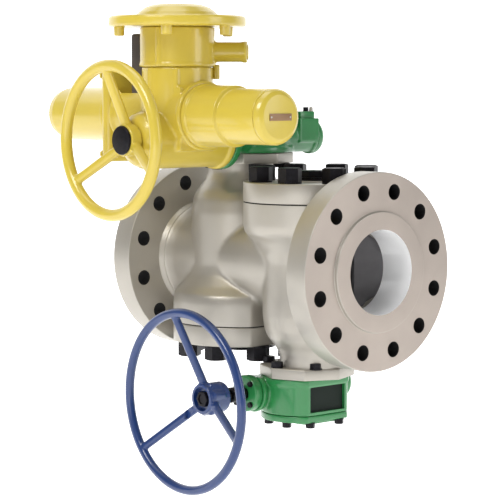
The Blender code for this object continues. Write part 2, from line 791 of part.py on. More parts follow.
def actuator_gearcase(back):
    """The drive housing along Y, the worm case along X and the foot of the column, in one casting."""
    motor_axis = (0, MOTOR_Y, MOTOR_Z)
    nose = [
        (0, back),
        (DRIVE_HOUSING_R, back),
        (DRIVE_HOUSING_R, ACTUATOR_FRONT + 0.022),
        (DRIVE_HOUSING_R - 0.007, ACTUATOR_FRONT + 0.007),
        (DRIVE_HOUSING_R - 0.018, ACTUATOR_FRONT),
        (0, ACTUATOR_FRONT),
    ]
    case = turned("actuator_gearcase", nose, "Y", drive_axis(), YELLOW_PAINT)
    crossing = turned("crossing", rod_outline(CASE_R, *CASE_X), "X", motor_axis)
    foot = turned("column_foot", rod_outline(COLUMN_R, WORM_Z, COLUMN_SPLIT_Z), "Z", (DRIVE_X, MOTOR_Y, 0))
    unite(case, crossing, foot)
    room = turned("wheel_room", [
        (0, back + 0.001),
        (DRIVE_HOUSING_R - 0.012, back + 0.001),
        (DRIVE_HOUSING_R - 0.012, ACTUATOR_FRONT + 0.040),
        (clear_of(SLEEVE_JOURNAL_R, SMALL), ACTUATOR_FRONT + 0.040),
        (clear_of(SLEEVE_JOURNAL_R, SMALL), ACTUATOR_FRONT - 0.001),
        (0, ACTUATOR_FRONT - 0.001),
    ], "Y", drive_axis(), sides=SMALL)
    worm_bore = rod_outline(MOTOR_CORE_R + 0.004, CASE_X[0] + 0.03, CASE_X[1] + 0.001)
    unite(room, turned("motor_worm_bore", worm_bore, "X", motor_axis, sides=SMALL))
    cut(case, box("panel_seat", (-0.3, MOTOR_Y - PANEL_HALF_W - GAP, PANEL_Z[0] - GAP),
                  (PANEL_X[1] + GAP, MOTOR_Y + PANEL_HALF_W + GAP, 0.5)))
    cut(case, room)


def drive_sleeve(back, shaft_end):
    front = ACTUATOR_FRONT + 0.041
    outline = [
        (0, back),
        (SLEEVE_R, back),
        (SLEEVE_R, front),
        (SLEEVE_JOURNAL_R, front),
        (SLEEVE_JOURNAL_R, ACT_HUB_Y[0] + 0.002),
        (0, ACT_HUB_Y[0] + 0.002),
    ]
    sleeve = turned("drive_sleeve", outline, "Y", drive_axis(), MACHINED, sides=SMALL)
    cut(sleeve, turned("sleeve_bore", rod_outline(SHAFT_R + GAP, shaft_end - 0.002, back + 0.001), "Y",
                       drive_axis(), sides=SMALL))
    points = toothed_outline(MOTOR_CORE_R, MOTOR_LIFT, MOTOR_TEETH, 0, MOTOR_TEETH - 1)
    half = ACT_GEAR_THICK / 2
    wheel = slab("actuator_worm_wheel", points, -half, half, BRONZE)
    # x of the flat outline is turned to +Z, towards the motor's worm
    wheel.matrix_local = Matrix.Translation(drive_axis(MOTOR_Y)) @ Matrix(
        ((0, 1, 0, 0), (0, 0, 1, 0), (1, 0, 0, 0), (0, 0, 0, 1))
    )
    cut(wheel, turned("wheel_seat", rod_outline(SLEEVE_R + GAP, MOTOR_Y - 0.02, MOTOR_Y + 0.02), "Y",
                      drive_axis(), sides=SMALL))


def motor():
    axis = (0, MOTOR_Y, MOTOR_Z)
    start = CASE_X[1] + GAP
    inner = MOTOR_R - MOTOR_WALL
    turned("motor_housing", [
        (MOTOR_R, MOTOR_END),
        (MOTOR_R, COLLAR_END),
        (MOTOR_COLLAR_R, COLLAR_END - 0.006),
        (MOTOR_COLLAR_R, start),
        (inner, start),
        (inner, MOTOR_END),
    ], "X", axis, YELLOW_PAINT)
    cap = MOTOR_END + GAP
    turned("motor_end_cap", [
        (0, cap + CAP_THICK),
        (MOTOR_R - 0.010, cap + CAP_THICK),
        (MOTOR_R - 0.003, cap + CAP_THICK - 0.004),
        (MOTOR_R, cap + CAP_THICK - 0.011),
        (MOTOR_R, cap),
        (0, cap),
    ], "X", axis, YELLOW_PAINT)
    plate = cap + CAP_THICK + GAP
    thick, width, height = NAMEPLATE
    box("nameplate", (plate, MOTOR_Y - width / 2, MOTOR_Z - height / 2),
        (plate + thick, MOTOR_Y + width / 2, MOTOR_Z + height / 2), DARK_PLASTIC)
    lead = gear_pair(MOTOR_CORE_R, MOTOR_LIFT, MOTOR_TEETH)[2]
    half = lead * 4.5 / 2
    rotor = turned("motor_rotor", [
        (0, MOTOR_END - 0.006),
        (SHAFT_R, MOTOR_END - 0.006),
        (SHAFT_R, MOTOR_END - 0.020),
        (inner - 0.006, MOTOR_END - 0.022),
        (inner - 0.006, start + 0.020),
        (SHAFT_R, start + 0.018),
        (SHAFT_R, DRIVE_X + half),
        (MOTOR_CORE_R, DRIVE_X + half),
        (MOTOR_CORE_R, DRIVE_X - half),
        (SHAFT_R, DRIVE_X - half),
        (SHAFT_R, DRIVE_X - 0.070),
        (0, DRIVE_X - 0.070),
    ], "X", axis, MACHINED, sides=SMALL)
    unite(rotor, helix("motor_thread", MOTOR_CORE_R, lead, 3, (DRIVE_X, MOTOR_Y, MOTOR_Z), "X", -math.pi / 2))


def control_drum():
    plate = CASE_X[0] - GAP
    half_y, half_z = DRUM_PLATE_HALF
    flange = box("drum_flange", (plate - DRUM_PLATE_THICK, MOTOR_Y - half_y, MOTOR_Z - half_z),
                 (plate, MOTOR_Y + half_y, MOTOR_Z + half_z), YELLOW_PAINT)
    bevel = flange.modifiers.new("corners", "BEVEL")
    bevel.width = 0.008
    bevel.segments = 2
    start = plate - DRUM_PLATE_THICK - GAP
    axis = (0, MOTOR_Y, MOTOR_Z)
    turned("control_drum", [
        (DRUM_R - DRUM_WALL, start),
        (DRUM_R, start),
        (DRUM_R, DRUM_END + DRUM_NOSE),
        ((DRUM_R + DRUM_NOSE_R) / 2, DRUM_END + DRUM_NOSE * 0.25),
        (DRUM_NOSE_R, DRUM_END),
        (clear_of(SHAFT_R, ROUND), DRUM_END),
        (clear_of(SHAFT_R, ROUND), DRUM_END + DRUM_WALL),
        (DRUM_NOSE_R - DRUM_WALL / 2, DRUM_END + DRUM_WALL),
        (DRUM_R - DRUM_WALL, DRUM_END + DRUM_NOSE),
    ], "X", axis, YELLOW_PAINT)
    turned("selector_knob", [
        (0, DRUM_END + 0.020),
        (SHAFT_R, DRUM_END + 0.020),
        (SHAFT_R, DRUM_END - GAP),
        (KNOB_R, DRUM_END - GAP),
        (KNOB_R, DRUM_END - KNOB_THICK),
        (0, DRUM_END - KNOB_THICK),
    ], "X", axis, BROWN_PLASTIC, sides=SMALL)


def control_column():
    axis = (DRIVE_X, MOTOR_Y, 0)
    low = COLUMN_SPLIT_Z + GAP
    wall = 0.007
    column = turned("control_column", [
        (COLUMN_TOP_R, COLUMN_TOP_Z),
        (COLUMN_TOP_R, low),
        (COLUMN_R - wall, low),
        (COLUMN_R - wall, COLUMN_TOP_Z),
    ], "Z", axis, YELLOW_PAINT)
    cut(column, box("panel_side", (-0.3, MOTOR_Y - PANEL_HALF_W - GAP, PANEL_Z[0]),
                    (PANEL_X[1] + GAP, MOTOR_Y + PANEL_HALF_W + GAP, PANEL_Z[1] + GAP)))
    reach = CONDUIT_REACH * math.sqrt(0.5)
    near = (COLUMN_R - 0.003) * math.sqrt(0.5)
    mouth = ((DRIVE_X + reach, MOTOR_Y + reach, CONDUIT_Z), (DRIVE_X + near, MOTOR_Y + near, CONDUIT_Z))
    unite(column, bars("conduit_boss", [mouth], CONDUIT_R, sides=SMALL))
    bore = Vector(mouth[0]) - Vector(mouth[1])
    deep = Vector(mouth[0]) - bore.normalized() * 0.020
    cut(column, bars("conduit_bore", [(Vector(mouth[0]) + bore * 0.1, deep)], CONDUIT_R - 0.005, sides=SMALL))
    plug_end = Vector(mouth[0]) + bore.normalized() * 0.003
    bars("conduit_plug", [(plug_end, deep + bore.normalized() * GAP)], CONDUIT_R - 0.005 - GAP, DARK_PLASTIC,
         sides=SMALL)
    base = COLUMN_TOP_Z + GAP
    dome = base + LID_THICK + DOME_H
    turned("column_lid", [
        (0, dome),
        (DOME_R - 0.014, dome),
        (DOME_R - 0.003, dome - 0.006),
        (DOME_R, base + LID_THICK),
        (LID_R - 0.004, base + LID_THICK),
        (LID_R, base + LID_THICK - 0.004),
        (LID_R, base),
        (0, base),
    ], "Z", axis, YELLOW_PAINT)
    panel = box("control_panel", (PANEL_X[0], MOTOR_Y - PANEL_HALF_W, PANEL_Z[0]),
                (PANEL_X[1], MOTOR_Y + PANEL_HALF_W, PANEL_Z[1]), DARK_PLASTIC)
    bevel = panel.modifiers.new("corners", "BEVEL")
    bevel.width = 0.003
    bevel.segments = 1


def actuator_handwheel():
    wheel = spoked_wheel("actuator_handwheel", (DRIVE_X, WORM_Z), ACT_WHEEL_R, ACT_TUBE_R, ACT_RIM_Y, ACT_HUB_R,
                         ACT_HUB_Y, ACT_SPOKE_R, ACT_FIRST_SPOKE, YELLOW_PAINT)
    cut(wheel, turned("actuator_hub_bore", rod_outline(SLEEVE_JOURNAL_R + GAP, ACT_HUB_Y[0] - 0.02,
                                                       ACT_HUB_Y[1] + 0.001), "Y", drive_axis(), sides=SMALL))
    face = ACT_HUB_Y[0] - GAP
    outline = rod_outline(HUB_CAP_R, face - HUB_CAP_THICK, face)
    turned("hub_cap", outline, "Y", drive_axis(), BLACK_OXIDE, sides=SMALL)


def build():
    stations = {}
    for side, level, x, turn in STATIONS:
        empty = bpy.data.objects.new(f"{side}_station", None)
        GROUPS["plug_valve"].objects.link(empty)
        empty.matrix_world = Matrix.Translation((x, 0, 0)) @ Matrix.Rotation(turn, 4, "Y")
        stations[side] = empty
    passage = flow_passage()
    valve_body(stations, passage)
    flange_back = -WORM_FRONT - GAP - INPUT_FLANGE_THICK
    sleeve_back = flange_back - 0.006
    shaft_end = sleeve_back - 0.034
    reaches = {"upper": shaft_end, "lower": HANDWHEEL_HUB_Y[0] + 0.003}
    for side, level, x, turn in STATIONS:
        empty = stations[side]
        plug(side, empty, passage)
        stem_packing(side, empty)
        cover(side, empty)
        cover_gasket(side, empty)
        cover_fasteners(side, empty)
        gearbox_housing(level, empty)
        gearbox_cover(level, empty)
        worm_wheel(level, empty)
        worm_shaft(level, empty, reaches[level])
        worm_end_cap(level, empty)
    front_plate("upper_input_flange", INPUT_FLANGE_R, INPUT_FLANGE_THICK, stations["left"])
    front_plate("lower_input_cap", WORM_HOUSING_R - 0.0005, INPUT_CAP_THICK, stations["right"])
    handwheel()
    actuator_gearcase(flange_back - GAP)
    drive_sleeve(sleeve_back, shaft_end)
    motor()
    control_drum()
    control_column()
    actuator_handwheel()


build()
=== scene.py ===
"""Finish of a twin plug valve: cast body, worm gearboxes, handwheel and electric actuator.

Every piece takes its place from the frame's nodes and rides on one of the frame's bodies.
"""
import json
import math

import bmesh
import bpy
from mathutils import Matrix, Vector


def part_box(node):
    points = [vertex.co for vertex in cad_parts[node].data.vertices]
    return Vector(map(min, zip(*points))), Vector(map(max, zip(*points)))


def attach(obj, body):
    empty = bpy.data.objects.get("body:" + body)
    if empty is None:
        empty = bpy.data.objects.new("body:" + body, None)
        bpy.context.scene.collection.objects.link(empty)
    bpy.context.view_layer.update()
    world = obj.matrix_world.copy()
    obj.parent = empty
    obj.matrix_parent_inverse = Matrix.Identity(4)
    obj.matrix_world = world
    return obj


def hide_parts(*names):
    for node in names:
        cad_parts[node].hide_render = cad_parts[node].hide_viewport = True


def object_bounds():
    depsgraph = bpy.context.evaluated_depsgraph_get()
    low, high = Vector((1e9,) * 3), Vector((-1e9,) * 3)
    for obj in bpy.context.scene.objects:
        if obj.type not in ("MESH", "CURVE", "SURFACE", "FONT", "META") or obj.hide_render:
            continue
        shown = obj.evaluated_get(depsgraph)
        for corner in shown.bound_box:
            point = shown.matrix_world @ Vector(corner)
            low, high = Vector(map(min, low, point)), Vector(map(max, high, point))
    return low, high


bl_info = {
    "name": "Twin plug valve",
    "version": (1, 0, 0),
    "blender": (4, 5, 0),
    "location": "View3D > Sidebar > Valve",
    "description": "Builds the visible pieces of a twin plug valve with its gearboxes and actuator",
    "category": "Object",
}

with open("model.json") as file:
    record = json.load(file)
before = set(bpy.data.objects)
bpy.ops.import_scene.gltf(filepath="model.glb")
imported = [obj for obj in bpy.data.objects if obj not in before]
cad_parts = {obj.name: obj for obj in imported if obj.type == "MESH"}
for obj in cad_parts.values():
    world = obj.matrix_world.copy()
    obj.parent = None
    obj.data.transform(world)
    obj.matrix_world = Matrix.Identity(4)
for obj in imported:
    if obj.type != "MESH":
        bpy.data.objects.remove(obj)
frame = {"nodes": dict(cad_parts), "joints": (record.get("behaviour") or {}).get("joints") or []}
CAD_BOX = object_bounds()
MM = 0.001


def node_box(name):
    low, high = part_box(name)
    return Vector(low), Vector(high)


def node_middle(name):
    low, high = node_box(name)
    return (low + high) / 2


# --- places read from the frame ----------------------------------------------------------
BODY_LOW, BODY_HIGH = node_box("valve_body")
FACE_X = BODY_HIGH.x
RAISED_FACE = 7 * MM        # how far a flange face stands out
FLANGE_R = BODY_HIGH.y
PLATE_TOP = BODY_HIGH.z
PLUG_X = node_middle("right_plug").x
COVER_LOW, COVER_HIGH = node_box("left_cover")
CHAMBER_R = COVER_HIGH.y
COVER_FACE = node_box("left_cover_gasket")[0].z
COVER_BACK = COVER_LOW.z
JOINT_Z = -node_box("left_cover_gasket")[1].z
COVER_INNER_FLAT = COVER_HIGH.x + PLUG_X
COVER_OUTER_FLAT = -PLUG_X - COVER_LOW.x
HOUSING_LOW, HOUSING_HIGH = node_box("upper_gearbox_housing")
GEARBOX_FLAT = -PLUG_X - HOUSING_LOW.x
DRIVE_X, DRIVE_Z = frame["joints"][2]["pos_m"][0], frame["joints"][2]["pos_m"][2]
WORM_OFFSET = DRIVE_X + PLUG_X
MOTOR_Y, MOTOR_Z = frame["joints"][5]["pos_m"][1:]
GAP = 0.3 * MM

STATIONS = {
    "left": Matrix.Translation((-PLUG_X, 0, 0)),
    "right": Matrix.Translation((PLUG_X, 0, 0)) @ Matrix.Rotation(math.pi, 4, "Y"),
}
LEVELS = {"upper": STATIONS["left"], "lower": STATIONS["right"]}
AXES = {
    "X": Matrix.Rotation(math.pi / 2, 4, "Y"),
    "Y": Matrix.Rotation(-math.pi / 2, 4, "X"),
    "Z": Matrix.Identity(4),
}


# --- settings a user may change ----------------------------------------------------------
def length(name, text, default):
    return bpy.props.FloatProperty(name=name, description=text, default=default, min=0, unit="LENGTH")


def hex_colour(value):
    """An sRGB hex colour as linear red, green, blue and alpha."""
    channels = [int(value[i:i + 2], 16) / 255 for i in (0, 2, 4)]
    return (*[c / 12.92 if c <= 0.04045 else ((c + 0.055) / 1.055) ** 2.4 for c in channels], 1)


def colour(name, text, value):
    return bpy.props.FloatVectorProperty(
        name=name, description=text, default=hex_colour(value), size=4, min=0, max=1, subtype="COLOR"
    )


class ValveSizes(bpy.types.PropertyGroup):
    """Sizes of the details that the frame doesn't hold."""
    bore_radius: length("Bore radius", "Inner radius of the pipe", 0.0762)
    bolt_circle: length("Bolt circle radius", "Radius of the flange's bolt circle", 0.14605)
    bolt_hole: length("Bolt hole radius", "Radius of a flange bolt hole", 0.0143)
    flange_thickness: length("Flange thickness", "Thickness behind the raised face", 0.0477)
    raised_face: length("Raised face radius", "Radius of the sealing face", 0.10795)
    cover_circle: length("Cover bolt circle", "Radius of a cover's bolt circle", 0.103)
    cover_bolt: length("Cover bolt size", "Width of a cover bolt across flats", 0.038)
    rim_radius: length("Handwheel radius", "Radius to the middle of the lower handwheel's rim", 0.159)
    casting_detail: length("Casting detail", "Edge length of the castings' surface", 0.0032)


class ValveColours(bpy.types.PropertyGroup):
    """Base colours of the finishes."""
    body: colour("Body", "Aluminium paint on the castings", "B3AEA5")
    face: colour("Machined face", "Turned flange faces", "AEA39A")
    yellow: colour("Yellow", "Actuator enamel", "CEB743")
    green: colour("Green", "Gearbox enamel", "2B8246")
    blue: colour("Blue", "Handwheel enamel", "16356E")
    black: colour("Black", "Black oxide on fasteners", "17151B")


# --- meshes ------------------------------------------------------------------------------
def keep(name, mesh):
    obj = bpy.data.objects.new(name, mesh)
    bpy.context.scene.collection.objects.link(obj)
    return obj


def from_bmesh(name, bm, matrix=None):
    """A mesh object with its place in its mesh and its faces pointing out."""
    if matrix:
        bmesh.ops.transform(bm, matrix=matrix, verts=bm.verts)
    bmesh.ops.recalc_face_normals(bm, faces=bm.faces)
    mesh = bpy.data.meshes.new(name)
    bm.to_mesh(mesh)
    bm.free()
    return keep(name, mesh)


def applied(obj):
    """Turn the evaluated object into a plain mesh and drop its modifiers."""
    bpy.context.view_layer.update()
    result = obj.evaluated_get(bpy.context.evaluated_depsgraph_get())
    mesh = bpy.data.meshes.new_from_object(result)
    old = obj.data
    obj.modifiers.clear()
    obj.data = mesh
    bpy.data.meshes.remove(old)
    return obj


def drop(*objects):
    for obj in objects:
        mesh = obj.data
        bpy.data.objects.remove(obj)
        bpy.data.meshes.remove(mesh)


def shade(obj, angle=32):
    obj.data.shade_smooth()
    obj.data.set_sharp_from_angle(angle=math.radians(angle))
    return obj


def rounded(points, radius, closed=False, steps=4):
    """Round the corners of an outline. Corners on the turning axis stay as they are."""
    result = []
    count = len(points)
    for i, point in enumerate(points):
        if not closed and i in (0, count - 1) or point[0] == 0:
            result.append(point)
            continue
        here = Vector(point)
        before = Vector(points[i - 1]) - here
        after = Vector(points[(i + 1) % count]) - here
        turn = before.angle(after, math.pi)
        reach = min(radius / math.tan(turn / 2), before.length * 0.45, after.length * 0.45)
        if turn > math.radians(172) or reach < 0.00005:
            result.append(point)
            continue
        start, end = here + before.normalized() * reach, here + after.normalized() * reach
        for k in range(steps + 1):
            t = k / steps
            result.append(tuple(start * (1 - t) ** 2 + here * 2 * t * (1 - t) + end * t ** 2))
    return result


def bridged(bm, loops):
    """Join loops of points, one after the other. A loop of one point makes a cone."""
    for a, b in loops:
        count = max(len(a), len(b))
        for k in range(count):
            n = (k + 1) % count
            corners = [a[k % len(a)], a[n % len(a)], b[n % len(b)], b[k % len(b)]]
            corners = list(dict.fromkeys(corners))
            if len(corners) > 2:
                bm.faces.new(corners)


def turned(name, outline, axis="Z", centre=(0, 0, 0), station=None, edge=0.0, sides=96):
    """Turn (radius, height) points about an axis. A first radius above 0 makes a ring."""
    ring = outline[0][0] > 0
    if edge:
        outline = rounded(outline, edge, closed=ring)
    bm = bmesh.new()
    rings = []
    for radius, height in outline:
        if radius < 1e-6:
            rings.append([bm.verts.new((0, 0, height))])
            continue
        angles = [2 * math.pi * k / sides for k in range(sides)]
        rings.append([bm.verts.new((radius * math.cos(a), radius * math.sin(a), height)) for a in angles])
    pairs = list(zip(rings, rings[1:]))
    if ring:
        pairs.append((rings[-1], rings[0]))
    bridged(bm, pairs)
    matrix = Matrix.Translation(centre) @ AXES[axis]
    return from_bmesh(name, bm, station @ matrix if station else matrix)


def rod(radius, low, high):
    return [(0, high), (radius, high), (radius, low), (0, low)]


def ring(inner, outer, low, high):
    return [(outer, high), (outer, low), (inner, low), (inner, high)]


def slab(name, outline, low, high, matrix=None):
    bm = bmesh.new()
    face = bm.faces.new([bm.verts.new((x, y, low)) for x, y in outline])
    top = bmesh.ops.extrude_face_region(bm, geom=[face])
    moved = [v for v in top["geom"] if isinstance(v, bmesh.types.BMVert)]
    bmesh.ops.translate(bm, verts=moved, vec=(0, 0, high - low))
    return from_bmesh(name, bm, matrix)


def block(name, low, high, matrix=None):
    outline = [(low[0], low[1]), (high[0], low[1]), (high[0], high[1]), (low[0], high[1])]
    return slab(name, outline, low[2], high[2], matrix)


def bar(name, start, end, radius, end_radius=None, sides=32):
    """A round bar, or a tapered one, between two points."""
    start, end = Vector(start), Vector(end)
    along = end - start
    where = Matrix.Translation((start + end) / 2) @ along.to_track_quat("Z", "Y").to_matrix().to_4x4()
    bm = bmesh.new()
    bmesh.ops.create_cone(
        bm,
        cap_ends=True,
        segments=sides,
        radius1=radius,
        radius2=end_radius or radius,
        depth=along.length,
        matrix=where,
    )
    return from_bmesh(name, bm)


def arc(radius, count, start=0.0, sweep=2 * math.pi, centre=(0, 0)):
    """Points of a circle, or of an arc with both its ends."""
    steps = count if sweep >= 2 * math.pi else count - 1
    angles = [start + sweep * k / steps for k in range(count)]
    return [(centre[0] + radius * math.cos(a), centre[1] + radius * math.sin(a)) for a in angles]


def around(radius, count):
    return arc(radius, count, start=math.pi / count)


def flatted(radius, flat):
    """A circle cut off by a flat at x = -flat."""
    half = math.acos(flat / radius)
    return arc(radius, 72, start=half - math.pi, sweep=2 * (math.pi - half))


def joined(name, pieces):
    """Put pieces into one mesh without merging them."""
    bm = bmesh.new()
    for piece in pieces:
        bm.from_mesh(piece.data)
    drop(*pieces)
    return from_bmesh(name, bm)


def cast(name, pieces, detail, passes):
    """Melt overlapping solids into one skin with soft fillets, as a sand casting has."""
    obj = joined(name, pieces)
    remesh = obj.modifiers.new("skin", "REMESH")
    remesh.mode = "VOXEL"
    remesh.voxel_size = detail
    smooth = obj.modifiers.new("fillets", "SMOOTH")
    smooth.factor = 0.5
    smooth.iterations = passes
    return applied(obj)


def work(target, others, operation="DIFFERENCE"):
    """Cut or add crisp solids."""
    for other in others:
        boolean = target.modifiers.new("machining", "BOOLEAN")
        boolean.operation = operation
        boolean.solver = "MANIFOLD"
        boolean.object = other
        applied(target)
    drop(*others)
    return target


def bevelled(obj, width, segments=3, angle=40):
    bevel = obj.modifiers.new("edges", "BEVEL")
    bevel.width = width
    bevel.segments = segments
    bevel.angle_limit = math.radians(angle)
    return applied(obj)


def dress(obj, body, key, *nodes, slot=None):
    """Give a finished piece its finish, its body and the nodes that it stands for."""
    obj.data.materials.clear()
    obj.data.materials.append(FINISHES[key])
    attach(obj, body)
    if nodes:
        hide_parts(*nodes)
    return obj


# --- finishes ----------------------------------------------------------------------------
def add_node(tree, kind, links=(), **settings):
    """Add a node. A setting names an input, or a property when no input has that name."""
    node = tree.nodes.new(kind)
    for key, value in settings.items():
        label = key.replace("_", " ").title()
        if hasattr(node, key):
            setattr(node, key, value)
        else:
            node.inputs[label].default_value = value
    for source, target in links:
        tree.links.new(source, node.inputs[target])
    return node


def new_finish(name):
    material = bpy.data.materials.new(name)
    material.use_nodes = True
    tree = material.node_tree
    where = add_node(tree, "ShaderNodeTexCoord").outputs["Object"]
    return material, tree, tree.nodes["Principled BSDF"], where


def mottled(tree, where, base, amount, scale):
    """The base colour, a little lighter and darker in patches."""
    noise = add_node(tree, "ShaderNodeTexNoise", [(where, "Vector")], scale=scale, detail=4.0)
    ramp = add_node(tree, "ShaderNodeValToRGB", [(noise.outputs["Fac"], "Fac")])
    for element, position, gain in zip(ramp.color_ramp.elements, (0.32, 0.68), (1 - amount, 1 + amount)):
        element.position = position
        element.color = (*[min(1, c * gain) for c in base[:3]], 1)
    return ramp.outputs["Color"]


def grain(tree, where, scale, strength, distance, shader):
    """Raised grain of 1 / scale metres."""
    noise = add_node(tree, "ShaderNodeTexNoise", [(where, "Vector")], scale=scale, detail=3.0)
    bump = add_node(
        tree, "ShaderNodeBump", [(noise.outputs["Fac"], "Height")], strength=strength, distance=distance
    )
    tree.links.new(bump.outputs["Normal"], shader.inputs["Normal"])
    return noise.outputs["Fac"]


def aluminium_paint(base):
    """Aluminium paint on a shot-blasted casting: a soft metallic sheen over a fine sandy skin."""
    material, tree, shader, where = new_finish("aluminium_paint_on_cast_steel")
    tree.links.new(mottled(tree, where, base, 0.05, 9), shader.inputs["Base Color"])
    sand = grain(tree, where, 1 / (2.6 * MM), 0.22, 0.4 * MM, shader)
    rough = add_node(tree, "ShaderNodeMapRange", [(sand, "Value")], to_min=0.33, to_max=0.45)
    tree.links.new(rough.outputs["Result"], shader.inputs["Roughness"])
    shader.inputs["Metallic"].default_value = 0.55
    shader.inputs["Coat Weight"].default_value = 0.12
    shader.inputs["Coat Roughness"].default_value = 0.25
    return material


def turned_steel(name, base, pitch, metallic=0.75):
    """Faced on a lathe: fine rings round the pipe's axis at the tool's feed, which catch the light."""
    material, tree, shader, where = new_finish(name)
    tree.links.new(mottled(tree, where, base, 0.04, 14), shader.inputs["Base Color"])
    squash = add_node(tree, "ShaderNodeMapping", [(where, "Vector")])
    squash.inputs["Scale"].default_value = (0, 1, 1)
    wave = add_node(
        tree,
        "ShaderNodeTexWave",
        [(squash.outputs["Vector"], "Vector")],
        wave_type="RINGS",
        rings_direction="SPHERICAL",
        scale=1 / (pitch * 20),
        distortion=0.4,
        detail=1.0,
    )
    bump = add_node(
        tree, "ShaderNodeBump", [(wave.outputs["Fac"], "Height")], strength=0.10, distance=0.1 * MM
    )
    tree.links.new(bump.outputs["Normal"], shader.inputs["Normal"])
    shader.inputs["Metallic"].default_value = metallic
    shader.inputs["Roughness"].default_value = 0.42
    return material


def enamel(name, base, roughness=0.30):
    """Two-part enamel sprayed on iron: even colour, a clear gloss and a faint orange peel."""
    material, tree, shader, where = new_finish(name)
    tree.links.new(mottled(tree, where, base, 0.035, 12), shader.inputs["Base Color"])
    grain(tree, where, 1 / (4 * MM), 0.10, 0.5 * MM, shader)
    shader.inputs["Roughness"].default_value = roughness
    shader.inputs["Coat Weight"].default_value = 0.5
    shader.inputs["Coat Roughness"].default_value = 0.12
    return material


def black_oxide(base):
    """Hot-blacked alloy steel, oiled: near black and dull, lighter and darker in small random patches."""
    material, tree, shader, where = new_finish("black_oxide_steel")
    tree.links.new(mottled(tree, where, base, 0.35, 120), shader.inputs["Base Color"])
    grain(tree, where, 1 / (1.2 * MM), 0.15, 0.2 * MM, shader)
    shader.inputs["Metallic"].default_value = 0.6
    shader.inputs["Roughness"].default_value = 0.42
    return material


def moulded(name, base, roughness):
    """Moulded phenolic: an even dull colour with a fine spark-eroded texture. Also gives the dull painted
    shade in the bolt holes, the inner passage and the gearbox recess.
    """
    material, tree, shader, where = new_finish(name)
    tree.links.new(mottled(tree, where, base, 0.08, 40), shader.inputs["Base Color"])
    grain(tree, where, 1 / (0.9 * MM), 0.25, 0.2 * MM, shader)
    shader.inputs["Roughness"].default_value = roughness
    return material


def gear_bronze():
    """Sand-cast gear bronze, hobbed: warm and bright on the teeth."""
    material, tree, shader, where = new_finish("gear_bronze")
    tree.links.new(mottled(tree, where, hex_colour("B88746"), 0.10, 60), shader.inputs["Base Color"])
    grain(tree, where, 1 / (1.5 * MM), 0.12, 0.2 * MM, shader)
    shader.inputs["Metallic"].default_value = 1.0
    shader.inputs["Roughness"].default_value = 0.36
    return material


FINISHES = {}


def make_finishes(colours):
    FINISHES.update(
        cast_steel=aluminium_paint(colours.body),
        flange_face=turned_steel("faced_steel", colours.face, 1.6 * MM, 0.45),
        # painted highlight: pure white, barely metallic bore mouths stand in for lit steel
        bore=turned_steel("bored_steel", hex_colour("FFFFFF"), 2.0 * MM, 0.10),
        # painted shade: dull dark grey for the passage further in, where shade falls
        passage=moulded("coated_passage", hex_colour("5E5C5E"), 0.6),
        # painted shade: near-black walls make the bolt holes read as shadowed
        bolt_hole=moulded("oiled_bolt_hole", hex_colour("0B0A0C"), 0.8),
        # painted shade: near-black green in the gearbox's side recess, where shade falls
        green_recess=moulded("dark_green_enamel", hex_colour("05170F"), 0.8),
        machined_steel=turned_steel("turned_steel", hex_colour("B9B6B0"), 1.2 * MM),
        yellow_paint=enamel("yellow_enamel", colours.yellow),
        green_paint=enamel("green_enamel", colours.green),
        blue_paint=enamel("blue_enamel", colours.blue, 0.34),
        black_oxide=black_oxide(colours.black),
        graphite=moulded("graphite_packing", hex_colour("252423"), 0.75),
        dark_plastic=moulded("dark_phenolic", hex_colour("40362F"), 0.5),
        brown_plastic=moulded("brown_phenolic", hex_colour("A0593A"), 0.45),
        plate=moulded("brown_anodised_plate", hex_colour("8C6B4A"), 0.4),
        bronze=gear_bronze(),
    )


